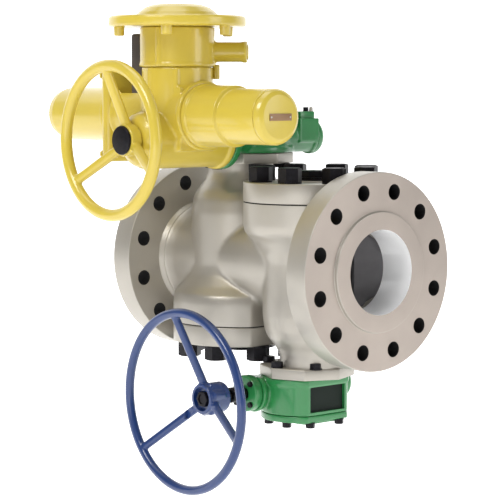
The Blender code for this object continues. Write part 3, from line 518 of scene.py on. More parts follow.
# --- fasteners by Geometry Nodes ---------------------------------------------------------
def bolt_tree(material):
    """Hexagon heads on washers, one on each point, standing along the point's own direction."""
    tree = bpy.data.node_groups.new("hexagon_heads", "GeometryNodeTree")
    tree.interface.new_socket("Geometry", in_out="INPUT", socket_type="NodeSocketGeometry")
    for name in ("Corner Radius", "Head Height", "Washer Radius", "Washer Height"):
        tree.interface.new_socket(name, in_out="INPUT", socket_type="NodeSocketFloat")
    tree.interface.new_socket("Geometry", in_out="OUTPUT", socket_type="NodeSocketGeometry")
    given = tree.nodes.new("NodeGroupInput").outputs

    def scaled(value, factor):
        times = add_node(tree, "ShaderNodeMath", operation="MULTIPLY")
        times.inputs[1].default_value = factor
        tree.links.new(value, times.inputs[0])
        return times.outputs[0]

    def drum(sides, radius, height):
        """A cylinder that stands on the point."""
        sizes = [(radius, "Radius"), (height, "Depth")]
        shape = add_node(tree, "GeometryNodeMeshCylinder", sizes, vertices=sides)
        lift = add_node(tree, "ShaderNodeCombineXYZ", [(scaled(height, 0.5), "Z")])
        moves = [(shape.outputs["Mesh"], "Geometry"), (lift.outputs[0], "Translation")]
        return add_node(tree, "GeometryNodeTransform", moves).outputs["Geometry"]

    head = drum(6, given["Corner Radius"], scaled(given["Head Height"], 0.96))
    crown = drum(30, scaled(given["Corner Radius"], 0.84), given["Head Height"])
    washer = drum(30, given["Washer Radius"], given["Washer Height"])
    both = tree.nodes.new("GeometryNodeJoinGeometry")
    for shape in (head, crown, washer):
        tree.links.new(shape, both.inputs["Geometry"])
    aim = add_node(tree, "GeometryNodeInputNamedAttribute", data_type="FLOAT_VECTOR")
    aim.inputs["Name"].default_value = "aim"
    direction = [(aim.outputs["Attribute"], "Vector")]
    turn = add_node(tree, "FunctionNodeAlignRotationToVector", direction, axis="Z")
    spread = add_node(
        tree,
        "GeometryNodeInstanceOnPoints",
        [
            (given["Geometry"], "Points"),
            (both.outputs[0], "Instance"),
            (turn.outputs["Rotation"], "Rotation"),
        ],
    )
    real = add_node(tree, "GeometryNodeRealizeInstances", [(spread.outputs["Instances"], "Geometry")])
    finish = add_node(tree, "GeometryNodeSetMaterial", [(real.outputs["Geometry"], "Geometry")])
    finish.inputs["Material"].default_value = material
    done = tree.nodes.new("NodeGroupOutput")
    tree.links.new(finish.outputs["Geometry"], done.inputs["Geometry"])
    return tree


def fasteners(name, places, across, height, washer, washer_height, nodes=(), key="black_oxide"):
    """Hexagon heads at (point, direction) places."""
    mesh = bpy.data.meshes.new(name)
    mesh.from_pydata([tuple(point) for point, _ in places], [], [])
    aim = mesh.attributes.new("aim", "FLOAT_VECTOR", "POINT")
    for item, (_, direction) in zip(aim.data, places):
        item.vector = direction
    obj = keep(name, mesh)
    modifier = obj.modifiers.new("heads", "NODES")
    modifier.node_group = bolt_tree(FINISHES[key])
    inputs = {"Corner Radius": across / math.sqrt(3), "Head Height": height,
              "Washer Radius": washer, "Washer Height": washer_height}
    for item in modifier.node_group.interface.items_tree:
        if item.name in inputs:
            modifier[item.identifier] = inputs[item.name]
    applied(obj)
    return dress(obj, "valve", key, *nodes)


def station_places(station, points, height, direction):
    """Places on one station, from (x, y) points at a height."""
    turn = station.to_3x3()
    return [(station @ Vector((x, y, height)), turn @ Vector(direction)) for x, y in points]


# --- valve body --------------------------------------------------------------------------
NECK_R = 62 * MM
BARREL_R = 94 * MM
PLATE_Z = 184 * MM
PLATE_OFFSET = 18 * MM
PLATE_R = 88 * MM


def chamber_outline():
    """Neck, shoulder, barrel and joint flange, from the mounting plate down past the cover joint."""
    return [
        (0, PLATE_Z + 8 * MM),
        (NECK_R, PLATE_Z + 8 * MM),
        (NECK_R, 166 * MM),
        (NECK_R + 6 * MM, 151 * MM),
        (84 * MM, 132 * MM),
        (91 * MM, 116 * MM),
        (BARREL_R, 90 * MM),
        (BARREL_R, -10 * MM),
        (98 * MM, -27 * MM),
        (112 * MM, -48 * MM),
        (CHAMBER_R - 3 * MM, -62 * MM),
        (CHAMBER_R, -76 * MM),
        (CHAMBER_R, -JOINT_Z - 8 * MM),
        (0, -JOINT_Z - 8 * MM),
    ]


def pipe_outline(flange_back):
    half = [
        (106 * MM, flange_back + 8 * MM),
        (106 * MM, flange_back),
        (97 * MM, flange_back - 12 * MM),
        (92 * MM, flange_back - 28 * MM),
        (88 * MM, PLUG_X),
    ]
    mirrored = [(r, -x) for r, x in reversed(half)]
    return [(0, half[0][1])] + half + mirrored + [(0, -half[0][1])]


def passage(sizes):
    """The round bore and the tall ports, lofted in one cutter."""
    port_x = PLUG_X + 74 * MM
    stations = [(FACE_X + 5 * MM, 0), (port_x + 30 * MM, 0), (port_x + 14 * MM, 0.5), (port_x, 1)]
    stations = [(-x, blend) for x, blend in stations] + [(x, blend) for x, blend in reversed(stations)]
    sides = 96
    bm = bmesh.new()
    loops = []
    for x, blend in stations:
        power = 2 + 6 * blend
        half_w = sizes.bore_radius + (32 * MM - sizes.bore_radius) * blend
        half_h = sizes.bore_radius + (70 * MM - sizes.bore_radius) * blend
        loop = []
        for k in range(sides):
            angle = 2 * math.pi * (k + 0.5) / sides
            c, s = math.cos(angle), math.sin(angle)
            y = math.copysign(abs(c) ** (2 / power), c) * half_w
            z = math.copysign(abs(s) ** (2 / power), s) * half_h
            loop.append(bm.verts.new((x, y, z)))
        loops.append(loop)
    bridged(bm, zip(loops, loops[1:]))
    bm.faces.new(loops[0])
    bm.faces.new(loops[-1])
    return from_bmesh("passage", bm)


def seat(side, station):
    """Room for the plug, its stem and the packing."""
    top = PLATE_TOP + 1 * MM
    outline = [
        (0, top),
        (38.6 * MM, top),
        (38.6 * MM, 150 * MM),
        (25.6 * MM, 150 * MM),
        (25.6 * MM, 100 * MM),
        (69.8 * MM, 100 * MM),
        (79.8 * MM, -95 * MM),
        (83.6 * MM, -97 * MM),
        (83.6 * MM, -JOINT_Z - 20 * MM),
        (0, -JOINT_Z - 20 * MM),
    ]
    return turned(f"{side}_seat", outline, station=station)


def flange(sign, sizes):
    """A raised-face pipe flange, without its bolt holes, which are cut later."""
    face = sign * FACE_X
    ring_face = sign * (FACE_X - RAISED_FACE)
    back = sign * (FACE_X - RAISED_FACE - sizes.flange_thickness)
    outline = rounded(
        [
            (0, face),
            (sizes.raised_face, face),
            (sizes.raised_face, ring_face),
            (FLANGE_R, ring_face),
            (FLANGE_R, back),
            (104 * MM, back),
            (100 * MM, back - sign * 10 * MM),
            (0, back - sign * 10 * MM),
        ],
        2.0 * MM,
    )
    return turned("flange", outline, "X", sides=192)


def build_body(sizes):
    flange_back = FACE_X - RAISED_FACE - sizes.flange_thickness
    rough = [turned("pipe", pipe_outline(flange_back), "X")]
    for side, station in STATIONS.items():
        chamber = turned(f"{side}_chamber", chamber_outline(), station=station)
        flat = block("inner_flat", (COVER_INNER_FLAT, -0.15, -0.16), (0.15, 0.15, -62 * MM), station)
        rough.append(work(chamber, [flat]))
    body = cast("valve_casting", rough, sizes.casting_detail, 12)
    plates = []
    for side, station in STATIONS.items():
        outline = arc(PLATE_R, 8, centre=(PLATE_OFFSET, 0))
        plates.append(bevelled(slab("plate", outline, PLATE_Z, PLATE_TOP, station), 2 * MM))
    work(body, plates + [flange(-1, sizes), flange(1, sizes)], "UNION")
    outer = PLUG_X - flange_back
    for station in STATIONS.values():
        corner = (COVER_INNER_FLAT + 1 * MM, 0.15, -JOINT_Z)
        work(body, [block("joint_face", (outer, -0.15, -0.16), corner, station)])
    holes = []
    for sign in (-1, 1):
        near, far = sign * (FACE_X + 5 * MM), sign * (flange_back - 3 * MM)
        for y, z in around(sizes.bolt_circle, 12):
            holes.append(bar("hole", (near, y, z), (far, y, z), sizes.bolt_hole))
    work(body, [joined("flange_holes", holes)])
    work(body, [seat(side, station) for side, station in STATIONS.items()] + [passage(sizes)])
    shade(body, 35)
    dress(body, "valve", "cast_steel", "valve_body")
    paint_machined(body, sizes, flange_back)


MOUTH_X = 218 * MM          # inner end of the bore mouth's painted highlight; further in the passage has painted shade


def paint_machined(body, sizes, flange_back):
    """Bare metal on the flange faces, a painted highlight on the bore mouths, painted shade in the passage
    further in and near-black painted shade on the bolt-hole walls.
    """
    mesh = body.data
    for key in ("flange_face", "bore", "bolt_hole", "passage"):
        mesh.materials.append(FINISHES[key])
    centres = around(sizes.bolt_circle, 12)
    for polygon in mesh.polygons:
        x, y, z = polygon.center
        across, normal = abs(x), polygon.normal
        hole = min(math.hypot(y - cy, z - cz) for cy, cz in centres)
        if abs(normal.x) > 0.9 and across > FACE_X - 9 * MM:
            polygon.material_index = 1
        # bolt-hole walls: near-black painted shade
        elif hole < sizes.bolt_hole + 0.5 * MM and across > flange_back - 2 * MM and abs(normal.x) < 0.5:
            polygon.material_index = 3
        # bore: painted highlight at the mouths, painted shade further in
        elif math.hypot(y, z) < sizes.bore_radius + 1 * MM and normal.y * y + normal.z * z < 0:
            polygon.material_index = 2 if across > MOUTH_X else 4


# --- covers ------------------------------------------------------------------------------
def joint_disc(name, radius, low, high, station, edge):
    """A disc with the cover's two flats."""
    inner = math.acos(COVER_INNER_FLAT / radius)
    outer = math.acos(COVER_OUTER_FLAT / radius)
    upper = arc(radius, 48, start=inner, sweep=math.pi - inner - outer)
    lower = arc(radius, 48, start=math.pi + outer, sweep=math.pi - inner - outer)
    disc = slab(name, upper + lower, low, high, station)
    return bevelled(disc, edge, 3, 50) if edge else disc


def build_covers(sizes):
    places = []
    adjusters = []
    for side, station in STATIONS.items():
        cover = joint_disc(f"{side}_joint_cover", CHAMBER_R, COVER_BACK, COVER_FACE, station, 2 * MM)
        outline = rod(52 * MM, COVER_BACK - 1.6 * MM, COVER_BACK + 5 * MM)
        pad = turned("pad", outline, station=station, edge=1 * MM)
        work(cover, [pad], "UNION")
        dress(shade(cover), "valve", "cast_steel", f"{side}_cover")
        gasket = joint_disc(f"{side}_joint_gasket", CHAMBER_R - 1.2 * MM, COVER_FACE, -JOINT_Z, station, 0)
        work(gasket, [turned("gasket_eye", rod(83.3 * MM, -0.13, -0.11), station=station)])
        dress(shade(gasket), "valve", "graphite", f"{side}_cover_gasket")
        places += station_places(station, around(sizes.cover_circle, 8), COVER_BACK, (0, 0, -1))
        adjusters += station_places(station, [(0, 0)], COVER_BACK - 1.6 * MM, (0, 0, -1))
    nodes = [f"{side}_cover_bolt_{n}" for side in STATIONS for n in range(1, 9)]
    fasteners("cover_bolts", places, sizes.cover_bolt, 28 * MM, 21.5 * MM, 3 * MM, nodes=nodes)
    nodes = [f"{side}_plug_adjuster" for side in STATIONS]
    fasteners("plug_adjusters", adjusters, 50 * MM, 18 * MM, 32 * MM, 6 * MM, nodes=nodes)
    plate_points = arc(74 * MM, 6, start=math.radians(30), centre=(PLATE_OFFSET, 0))
    places = []
    for station in STATIONS.values():
        places += station_places(station, plate_points, PLATE_Z, (0, 0, -1))
    fasteners("gearbox_mounting_bolts", places, 19 * MM, 11 * MM, 11.5 * MM, 2 * MM)


# --- worm gearboxes ----------------------------------------------------------------------
WORM_R = node_box("upper_worm_end_cap")[1].z - DRIVE_Z + 0.5 * MM
GEARBOX_R = node_box("upper_gearbox_cover")[1].y
GEARBOX_OFFSET = HOUSING_HIGH.x + PLUG_X - GEARBOX_R
LID_THICK = 12 * MM


def gearbox_outline(grow=0.0):
    """The housing's plan: round towards the worm, flat on the other side."""
    outline = flatted(GEARBOX_R + grow, GEARBOX_FLAT + GEARBOX_OFFSET + grow)
    return [(x + GEARBOX_OFFSET, y) for x, y in outline]


def half_chord(radius, distance):
    """Half the length of the flat that cuts a circle at this distance."""
    return math.sqrt(radius * radius - distance * distance)


def build_gearbox(level, station):
    """Housing with its worm tube, cover plate, end cap and screws."""
    base, top = HOUSING_LOW.z, HOUSING_HIGH.z
    tube_low, tube_high = HOUSING_LOW.y, HOUSING_HIGH.y
    axis = (WORM_OFFSET, 0, DRIVE_Z)
    rough = [
        slab("shell", gearbox_outline(-0.6 * MM), base + 0.5 * MM, top, station),
        slab("lip", gearbox_outline(2.5 * MM), base, base + 11 * MM, station),
        turned("tube", rod(WORM_R - 1 * MM, tube_low, tube_high), "Y", axis, station),
        turned("mouth", rod(WORM_R + 2.5 * MM, tube_low, tube_low + 9 * MM), "Y", axis, station),
        turned("tail", rod(WORM_R + 1.5 * MM, tube_high - 8 * MM, tube_high), "Y", axis, station),
        block("web", (WORM_OFFSET - 24 * MM, -88 * MM, base + 4 * MM),
              (WORM_OFFSET + 24 * MM, 92 * MM, DRIVE_Z), station),
    ]
    if level == "upper":
        rough.append(block("tail_block", (WORM_OFFSET - 14 * MM, 64 * MM, DRIVE_Z - 10 * MM),
                           (WORM_OFFSET + WORM_R + 1 * MM, tube_high, DRIVE_Z + WORM_R + 1 * MM), station))
    housing = cast(f"{level}_housing_casting", rough, 1.9 * MM, 5)
    side = half_chord(GEARBOX_R, GEARBOX_FLAT + GEARBOX_OFFSET)
    work(housing, [
        slab("room", flatted(50 * MM, GEARBOX_FLAT - 11 * MM), base + 9 * MM, top + 9 * MM, station),
        turned("worm_bore", rod(21.5 * MM, tube_low - 9 * MM, tube_high + 9 * MM), "Y", axis, station),
        turned("stem_bore", rod(26 * MM, base - 9 * MM, base + 20 * MM), station=station),
        block("foot_face", (-0.2, -0.2, base - 30 * MM), (0.2, 0.2, base), station),
        block("lid_face", (-0.2, -0.2, top - 0.2 * MM), (0.2, 0.2, top + 40 * MM), station),
        block("recess", (-GEARBOX_FLAT - 9 * MM, 6 * MM - side, base + 14 * MM),
              (7 * MM - GEARBOX_FLAT, side - 6 * MM, top - 6 * MM), station),
    ])
    shade(housing, 40)
    dress(housing, "valve", "green_paint", f"{level}_gearbox_housing")
    # the recessed side panel takes the near-black green painted shade
    housing.data.materials.append(FINISHES["green_recess"])
    away = station.to_3x3() @ Vector((-1, 0, 0))
    depth = (station @ Vector((2 * MM - GEARBOX_FLAT, 0, 0))).dot(away)
    floor_depth = (station @ Vector((11 * MM - GEARBOX_FLAT, 0, 0))).dot(away)
    for polygon in housing.data.polygons:
        if polygon.normal.dot(away) > 0.9 and floor_depth < polygon.center.dot(away) < depth:
            polygon.material_index = 1

    low = top + GAP
    face = low + LID_THICK
    lid = slab(f"{level}_cover_plate", gearbox_outline(-0.5 * MM), low, face, station)
    bevelled(lid, 2 * MM, 3, 50)
    raised = slab("raised", flatted(48 * MM, GEARBOX_FLAT - 11 * MM), low + 2 * MM, face + 5 * MM, station)
    work(lid, [bevelled(raised, 2 * MM, 3, 50)], "UNION")
    dress(shade(lid), "valve", "green_paint", f"{level}_gearbox_cover")
    screws = [(-31 * MM, -36 * MM), (-31 * MM, 36 * MM), (2 * MM, -64 * MM), (2 * MM, 64 * MM),
              (56 * MM, -60 * MM), (56 * MM, 60 * MM), (96 * MM, -15 * MM), (96 * MM, 15 * MM)]
    fasteners(f"{level}_cover_screws", station_places(station, screws, face, (0, 0, 1)),
              15 * MM, 10 * MM, 9 * MM, 1.5 * MM)
    outline = [(0, face + 13 * MM), (7 * MM, face + 13 * MM), (9 * MM, face + 4 * MM), (0, face + 4 * MM)]
    plug = turned(f"{level}_grease_plug", outline, centre=(14 * MM, 0, 0), station=station,
                  edge=1.5 * MM, sides=40)
    dress(shade(plug), "valve", "machined_steel")

    cap_low, cap_high = node_box(f"{level}_worm_end_cap")
    outline = [(0, cap_high.y), (30 * MM, cap_high.y), (WORM_R - 0.5 * MM, cap_high.y - 6 * MM),
               (WORM_R - 0.5 * MM, cap_low.y), (0, cap_low.y)]
    cap = turned(f"{level}_worm_cap", outline, "Y", axis, station, edge=3 * MM)
    journal = rod(12.5 * MM, cap_low.y - 5 * MM, cap_high.y - 5 * MM)
    work(cap, [turned("journal", journal, "Y", axis, station)])
    dress(shade(cap), "valve", "green_paint", f"{level}_worm_end_cap")


def build_tail_cover(station):
    """Raised cover on the worm tube's far end, with two screws and a bright grease fitting."""
    seat = DRIVE_Z + WORM_R
    top = seat + 14 * MM
    low = (WORM_OFFSET - 7 * MM, 75 * MM, seat - 2 * MM)
    high = (WORM_OFFSET + 23 * MM, 112 * MM, top)
    cover = bevelled(block("upper_tail_cover", low, high, station), 2 * MM)
    dress(shade(cover), "valve", "green_paint")
    screws = [(WORM_OFFSET - 1 * MM, 80 * MM), (WORM_OFFSET + 12 * MM, 99 * MM)]
    places = station_places(station, screws, top, (0, 0, 1))
    fasteners("tail_cover_screws", places, 9 * MM, 8 * MM, 5.5 * MM, 1 * MM)
    fitting = [(0, top + 9 * MM), (3 * MM, top + 8 * MM), (4 * MM, top), (0, top)]
    corner = (WORM_OFFSET + 18 * MM, 107 * MM, 0)
    greaser = turned("upper_grease_fitting", fitting, centre=corner, station=station, sides=32)
    dress(shade(greaser), "valve", "machined_steel")


def disc_on_worm(name, node, radius, level, bolt_radius, edge):
    """A plate that closes a worm tube's input end, and the places for its screws."""
    low, high = node_box(node)
    axis = (WORM_OFFSET, 0, DRIVE_Z)
    station = LEVELS[level]
    outline = ring(10 * MM, radius, low.y, high.y)
    disc = turned(name, outline, "Y", axis, station, edge=edge)
    dress(shade(disc), "valve", "green_paint", node)
    places = []
    for x, z in around(bolt_radius, 4):
        places.append((station @ Vector((WORM_OFFSET + x, low.y, DRIVE_Z + z)), (0, -1, 0)))
    return places


def build_gearboxes():
    for level, station in LEVELS.items():
        build_gearbox(level, station)
    build_tail_cover(LEVELS["upper"])
    disc_on_worm("upper_drive_flange", "upper_input_flange", 57 * MM, "upper", 47 * MM, 3 * MM)
    places = disc_on_worm("lower_seal_cap", "lower_input_cap", WORM_R - 0.5 * MM, "lower", 27 * MM, 4 * MM)
    fasteners("seal_cap_screws", places, 9 * MM, 5 * MM, 5.5 * MM, 1 * MM)


# --- handwheels --------------------------------------------------------------------------
def spoke_ends(centre, first, hub_r, hub_y, rim_r, rim_y):
    x, z = centre
    for degrees in (first, first + 120, first + 240):
        a = math.radians(degrees)
        start = (x + hub_r * math.cos(a), hub_y, z + hub_r * math.sin(a))
        yield start, (x + rim_r * math.cos(a), rim_y, z + rim_r * math.sin(a))


def rim(centre, radius, tube, y):
    section = [(radius + tube * math.cos(a), y + tube * math.sin(a))
               for a in [-2 * math.pi * k / 28 for k in range(28)]]
    return turned("rim", section, "Y", (centre[0], 0, centre[1]), sides=160)


def build_handwheel(sizes):
    """Dished wheel of bent bar, welded to a lobed hub and sprayed blue."""
    low, high = node_box("handwheel")
    centre = (PLUG_X - WORM_OFFSET, -DRIVE_Z)
    tube = high.x - centre[0] - sizes.rim_radius
    rim_y = low.y + tube
    nut_low, nut_high = node_box("handwheel_nut")
    hub_front, hub_back = nut_low.y - 1 * MM, high.y
    axis = (centre[0], 0, centre[1])
    rough = [rim(centre, sizes.rim_radius, tube, rim_y),
             turned("hub", rod(28 * MM, hub_front, hub_back), "Y", axis, edge=2 * MM)]
    for start, end in spoke_ends(centre, 100, 22 * MM, hub_front + 12 * MM, sizes.rim_radius, rim_y):
        rough.append(bar("spoke", start, end, 7.9 * MM, 7.4 * MM))
    for first in (62, 138):
        for start, end in spoke_ends(centre, first, 24 * MM, hub_front + 8 * MM,
                                     23 * MM, hub_front + 34 * MM):
            rough.append(bar("lobe", start, end, 9 * MM, 8 * MM))
    wheel = cast("blue_handwheel", rough, 1.9 * MM, 5)
    work(wheel, [
        turned("recess", rod(22 * MM, hub_front - 9 * MM, nut_high.y + GAP), "Y", axis),
        turned("bore", rod(9.4 * MM, hub_front - 9 * MM, hub_back + 9 * MM), "Y", axis),
        block("hub_front_face", (centre[0] - 40 * MM, hub_front - 9 * MM, centre[1] - 40 * MM),
              (centre[0] + 40 * MM, hub_front + 0.4 * MM, centre[1] + 40 * MM)),
    ])
    dress(shade(wheel, 40), "manual_drive", "blue_paint", "handwheel")
    nut = turned("wheel_nut", rod(15.5 * MM, nut_low.y, nut_high.y), "Y", axis, sides=6)
    bevelled(nut, 1 * MM)
    work(nut, [turned("thread", rod(9.3 * MM, nut_low.y - 5 * MM, nut_high.y + 5 * MM), "Y", axis)])
    dress(shade(nut), "manual_drive", "black_oxide", "handwheel_nut")
    low, high = node_box("shaft_collar")
    outline = ring(9.3 * MM, 14 * MM, low.y, high.y)
    collar = turned("blackened_collar", outline, "Y", axis, edge=1.5 * MM)
    dress(shade(collar), "manual_drive", "black_oxide", "shaft_collar")


def build_actuator_handwheel():
    """Thicker dished wheel on the actuator's nose, with a black cap over the sleeve's end."""
    low, high = node_box("actuator_handwheel")
    centre = (DRIVE_X, DRIVE_Z)
    radius = 132 * MM
    tube = high.x - DRIVE_X - radius
    rim_y = low.y + tube
    cap_low, cap_high = node_box("hub_cap")
    axis = (DRIVE_X, 0, DRIVE_Z)
    face = cap_high.y + GAP
    rough = [rim(centre, radius, tube, rim_y),
             turned("hub", rod(29 * MM, face, high.y), "Y", axis, edge=2 * MM)]
    for start, end in spoke_ends(centre, 96, 20 * MM, face + 13 * MM, radius, rim_y):
        rough.append(bar("spoke", start, end, 9.6 * MM, 8.6 * MM))
    wheel = cast("yellow_handwheel", rough, 1.9 * MM, 5)
    work(wheel, [turned("bore", rod(12.4 * MM, low.y, high.y + 9 * MM), "Y", axis)])
    dress(shade(wheel, 40), "actuator_handwheel", "yellow_paint", "actuator_handwheel")
    outline = [(0, cap_high.y), (26.5 * MM, cap_high.y), (25 * MM, cap_low.y + 1 * MM),
               (0, cap_low.y - 1 * MM)]
    cap = turned("sleeve_cap", outline, "Y", axis, edge=1.5 * MM)
    dress(shade(cap), "actuator_handwheel", "black_oxide", "hub_cap")


# --- electric actuator -------------------------------------------------------------------
CASE_R = 58 * MM
COLUMN_R = 65 * MM
CONDUIT_REACH = 127 * MM    # column's middle to the conduit's mouth
DRAIN_PIN_R = 70 * MM
LUG_CIRCLE = 105 * MM


def build_gearcase():
    low, high = node_box("actuator_gearcase")
    front, back = low.y, high.y
    start, end = low.x, high.x
    split = node_box("control_column")[0].z - GAP
    axis = (DRIVE_X, 0, DRIVE_Z)
    motor_axis = (0, MOTOR_Y, MOTOR_Z)
    nose = [(0, back), (52.5 * MM, back), (52.5 * MM, front + 22 * MM), (46 * MM, front + 7 * MM),
            (35 * MM, front), (0, front)]
    rough = [
        turned("drive_barrel", nose, "Y", axis),
        turned("drive_foot", rod(57 * MM, back - 12 * MM, back), "Y", axis),
        turned("worm_case", rod(CASE_R - 1 * MM, start, end), "X", motor_axis),
        turned("motor_flange", rod(CASE_R + 4 * MM, end - 11 * MM, end), "X", motor_axis),
        turned("drum_flange", rod(CASE_R + 3 * MM, start, start + 10 * MM), "X", motor_axis),
        turned("column_foot", rod(COLUMN_R - 0.5 * MM, DRIVE_Z, split), "Z", (DRIVE_X, MOTOR_Y, 0)),
        block("saddle", (DRIVE_X - 58 * MM, MOTOR_Y - 44 * MM, DRIVE_Z - 20 * MM),
              (DRIVE_X + 62 * MM, MOTOR_Y + 44 * MM, MOTOR_Z + 52 * MM)),
    ]
    for degrees in (-40, -90):
        a = math.radians(degrees)
        near, far = (DRIVE_X, MOTOR_Y, DRIVE_Z + 60 * MM), (DRIVE_X, MOTOR_Y, split - 2 * MM)
        offset = Vector((math.cos(a), math.sin(a), 0)) * (COLUMN_R - 1 * MM)
        rough.append(bar("rib", Vector(near) + offset, Vector(far) + offset, 4.5 * MM))
    case = cast("gearcase_casting", rough, 2.4 * MM, 6)
    panel_low, panel_high = node_box("control_panel")
    work(case, [
        turned("room", rod(41 * MM, front + 40 * MM, back + 9 * MM), "Y", axis),
        turned("journal", rod(12.4 * MM, front - 9 * MM, back), "Y", axis),
        turned("worm_bore", rod(18 * MM, start + 30 * MM, end + 9 * MM), "X", motor_axis),
        block("panel_seat", (-0.3, panel_low.y - GAP, panel_low.z - GAP),
              (panel_high.x + GAP, panel_high.y + GAP, 0.5)),
        block("motor_face", (end, MOTOR_Y - 0.09, MOTOR_Z - 0.09),
              (end + 9 * MM, MOTOR_Y + 0.09, MOTOR_Z + 0.09)),
    ])
    dress(shade(case, 40), "valve", "yellow_paint", "actuator_gearcase")


def build_motor():
    low, high = node_box("motor_housing")
    axis = (0, MOTOR_Y, MOTOR_Z)
    radius, inner = 48.4 * MM, 42 * MM
    collar_end = 125 * MM
    outline = [(radius, high.x), (radius, collar_end + 3 * MM), (54 * MM, collar_end),
               (55 * MM, low.x + 12 * MM), (CASE_R, low.x + 9 * MM), (CASE_R, low.x),
               (inner, low.x), (inner, high.x)]
    shell = turned("motor_shell", outline, "X", axis, edge=2.5 * MM, sides=128)
    dress(shade(shell), "valve", "yellow_paint", "motor_housing")
    low, high = node_box("motor_end_cap")
    outline = [(0, high.x), (38 * MM, high.x), (45 * MM, high.x - 4 * MM), (radius, high.x - 11 * MM),
               (radius, low.x), (0, low.x)]
    cap = turned("motor_cap", outline, "X", axis, edge=7 * MM, sides=128)
    dress(shade(cap), "valve", "yellow_paint", "motor_end_cap")
    low, high = node_box("nameplate")
    plate = bevelled(block("blank_plate", low, high), 0.35 * MM, 2)
    dress(shade(plate), "valve", "plate", "nameplate", slot="brown_plastic")
    rivets = []
    for y in (low.y + 3.5 * MM, high.y - 3.5 * MM):
        rivets.append((Vector((high.x, y, (low.z + high.z) / 2)), Vector((1, 0, 0))))
    fasteners("plate_rivets", rivets, 3 * MM, 0.8 * MM, 1.6 * MM, 0.5 * MM, key="machined_steel")


def build_drum():
    low, high = node_box("drum_flange")
    plate = bevelled(block("square_flange", low, high), 14 * MM, 5)
    dress(shade(plate), "valve", "yellow_paint", "drum_flange")
    corners = []
    for y in (low.y + 13 * MM, high.y - 13 * MM):
        for z in (low.z + 14 * MM, high.z - 14 * MM):
            corners.append((Vector((low.x, y, z)), Vector((-1, 0, 0))))
    fasteners("drum_flange_screws", corners, 13 * MM, 8 * MM, 9 * MM, 1.5 * MM, key="yellow_paint")
    low, high = node_box("control_drum")
    axis = (0, MOTOR_Y, MOTOR_Z)
    outline = [(44 * MM, high.x), (54 * MM, high.x), (54 * MM, high.x - 9 * MM), (50 * MM, high.x - 13 * MM),
               (50 * MM, low.x + 36 * MM), (46 * MM, low.x + 20 * MM), (37 * MM, low.x + 8 * MM),
               (25 * MM, low.x), (9.4 * MM, low.x), (9.4 * MM, low.x + 6 * MM), (22 * MM, low.x + 6 * MM),
               (44 * MM, low.x + 36 * MM)]
    drum = turned("drum_shell", outline, "X", axis, edge=4 * MM, sides=128)
    dress(shade(drum), "valve", "yellow_paint", "control_drum")
    low, high = node_box("selector_knob")
    outline = [(0, high.x), (9 * MM, high.x), (9 * MM, low.x + 7.7 * MM), (20.5 * MM, low.x + 7.7 * MM),
               (20.5 * MM, low.x), (0, low.x)]
    knob = turned("selector_disc", outline, "X", axis, edge=1.5 * MM)
    slot = block("grip", (low.x - 5 * MM, MOTOR_Y - 2 * MM, MOTOR_Z - 15 * MM),
                 (low.x + 2 * MM, MOTOR_Y + 2 * MM, MOTOR_Z + 15 * MM))
    work(knob, [slot])
    dress(shade(knob), "selector_knob", "brown_plastic", "selector_knob")


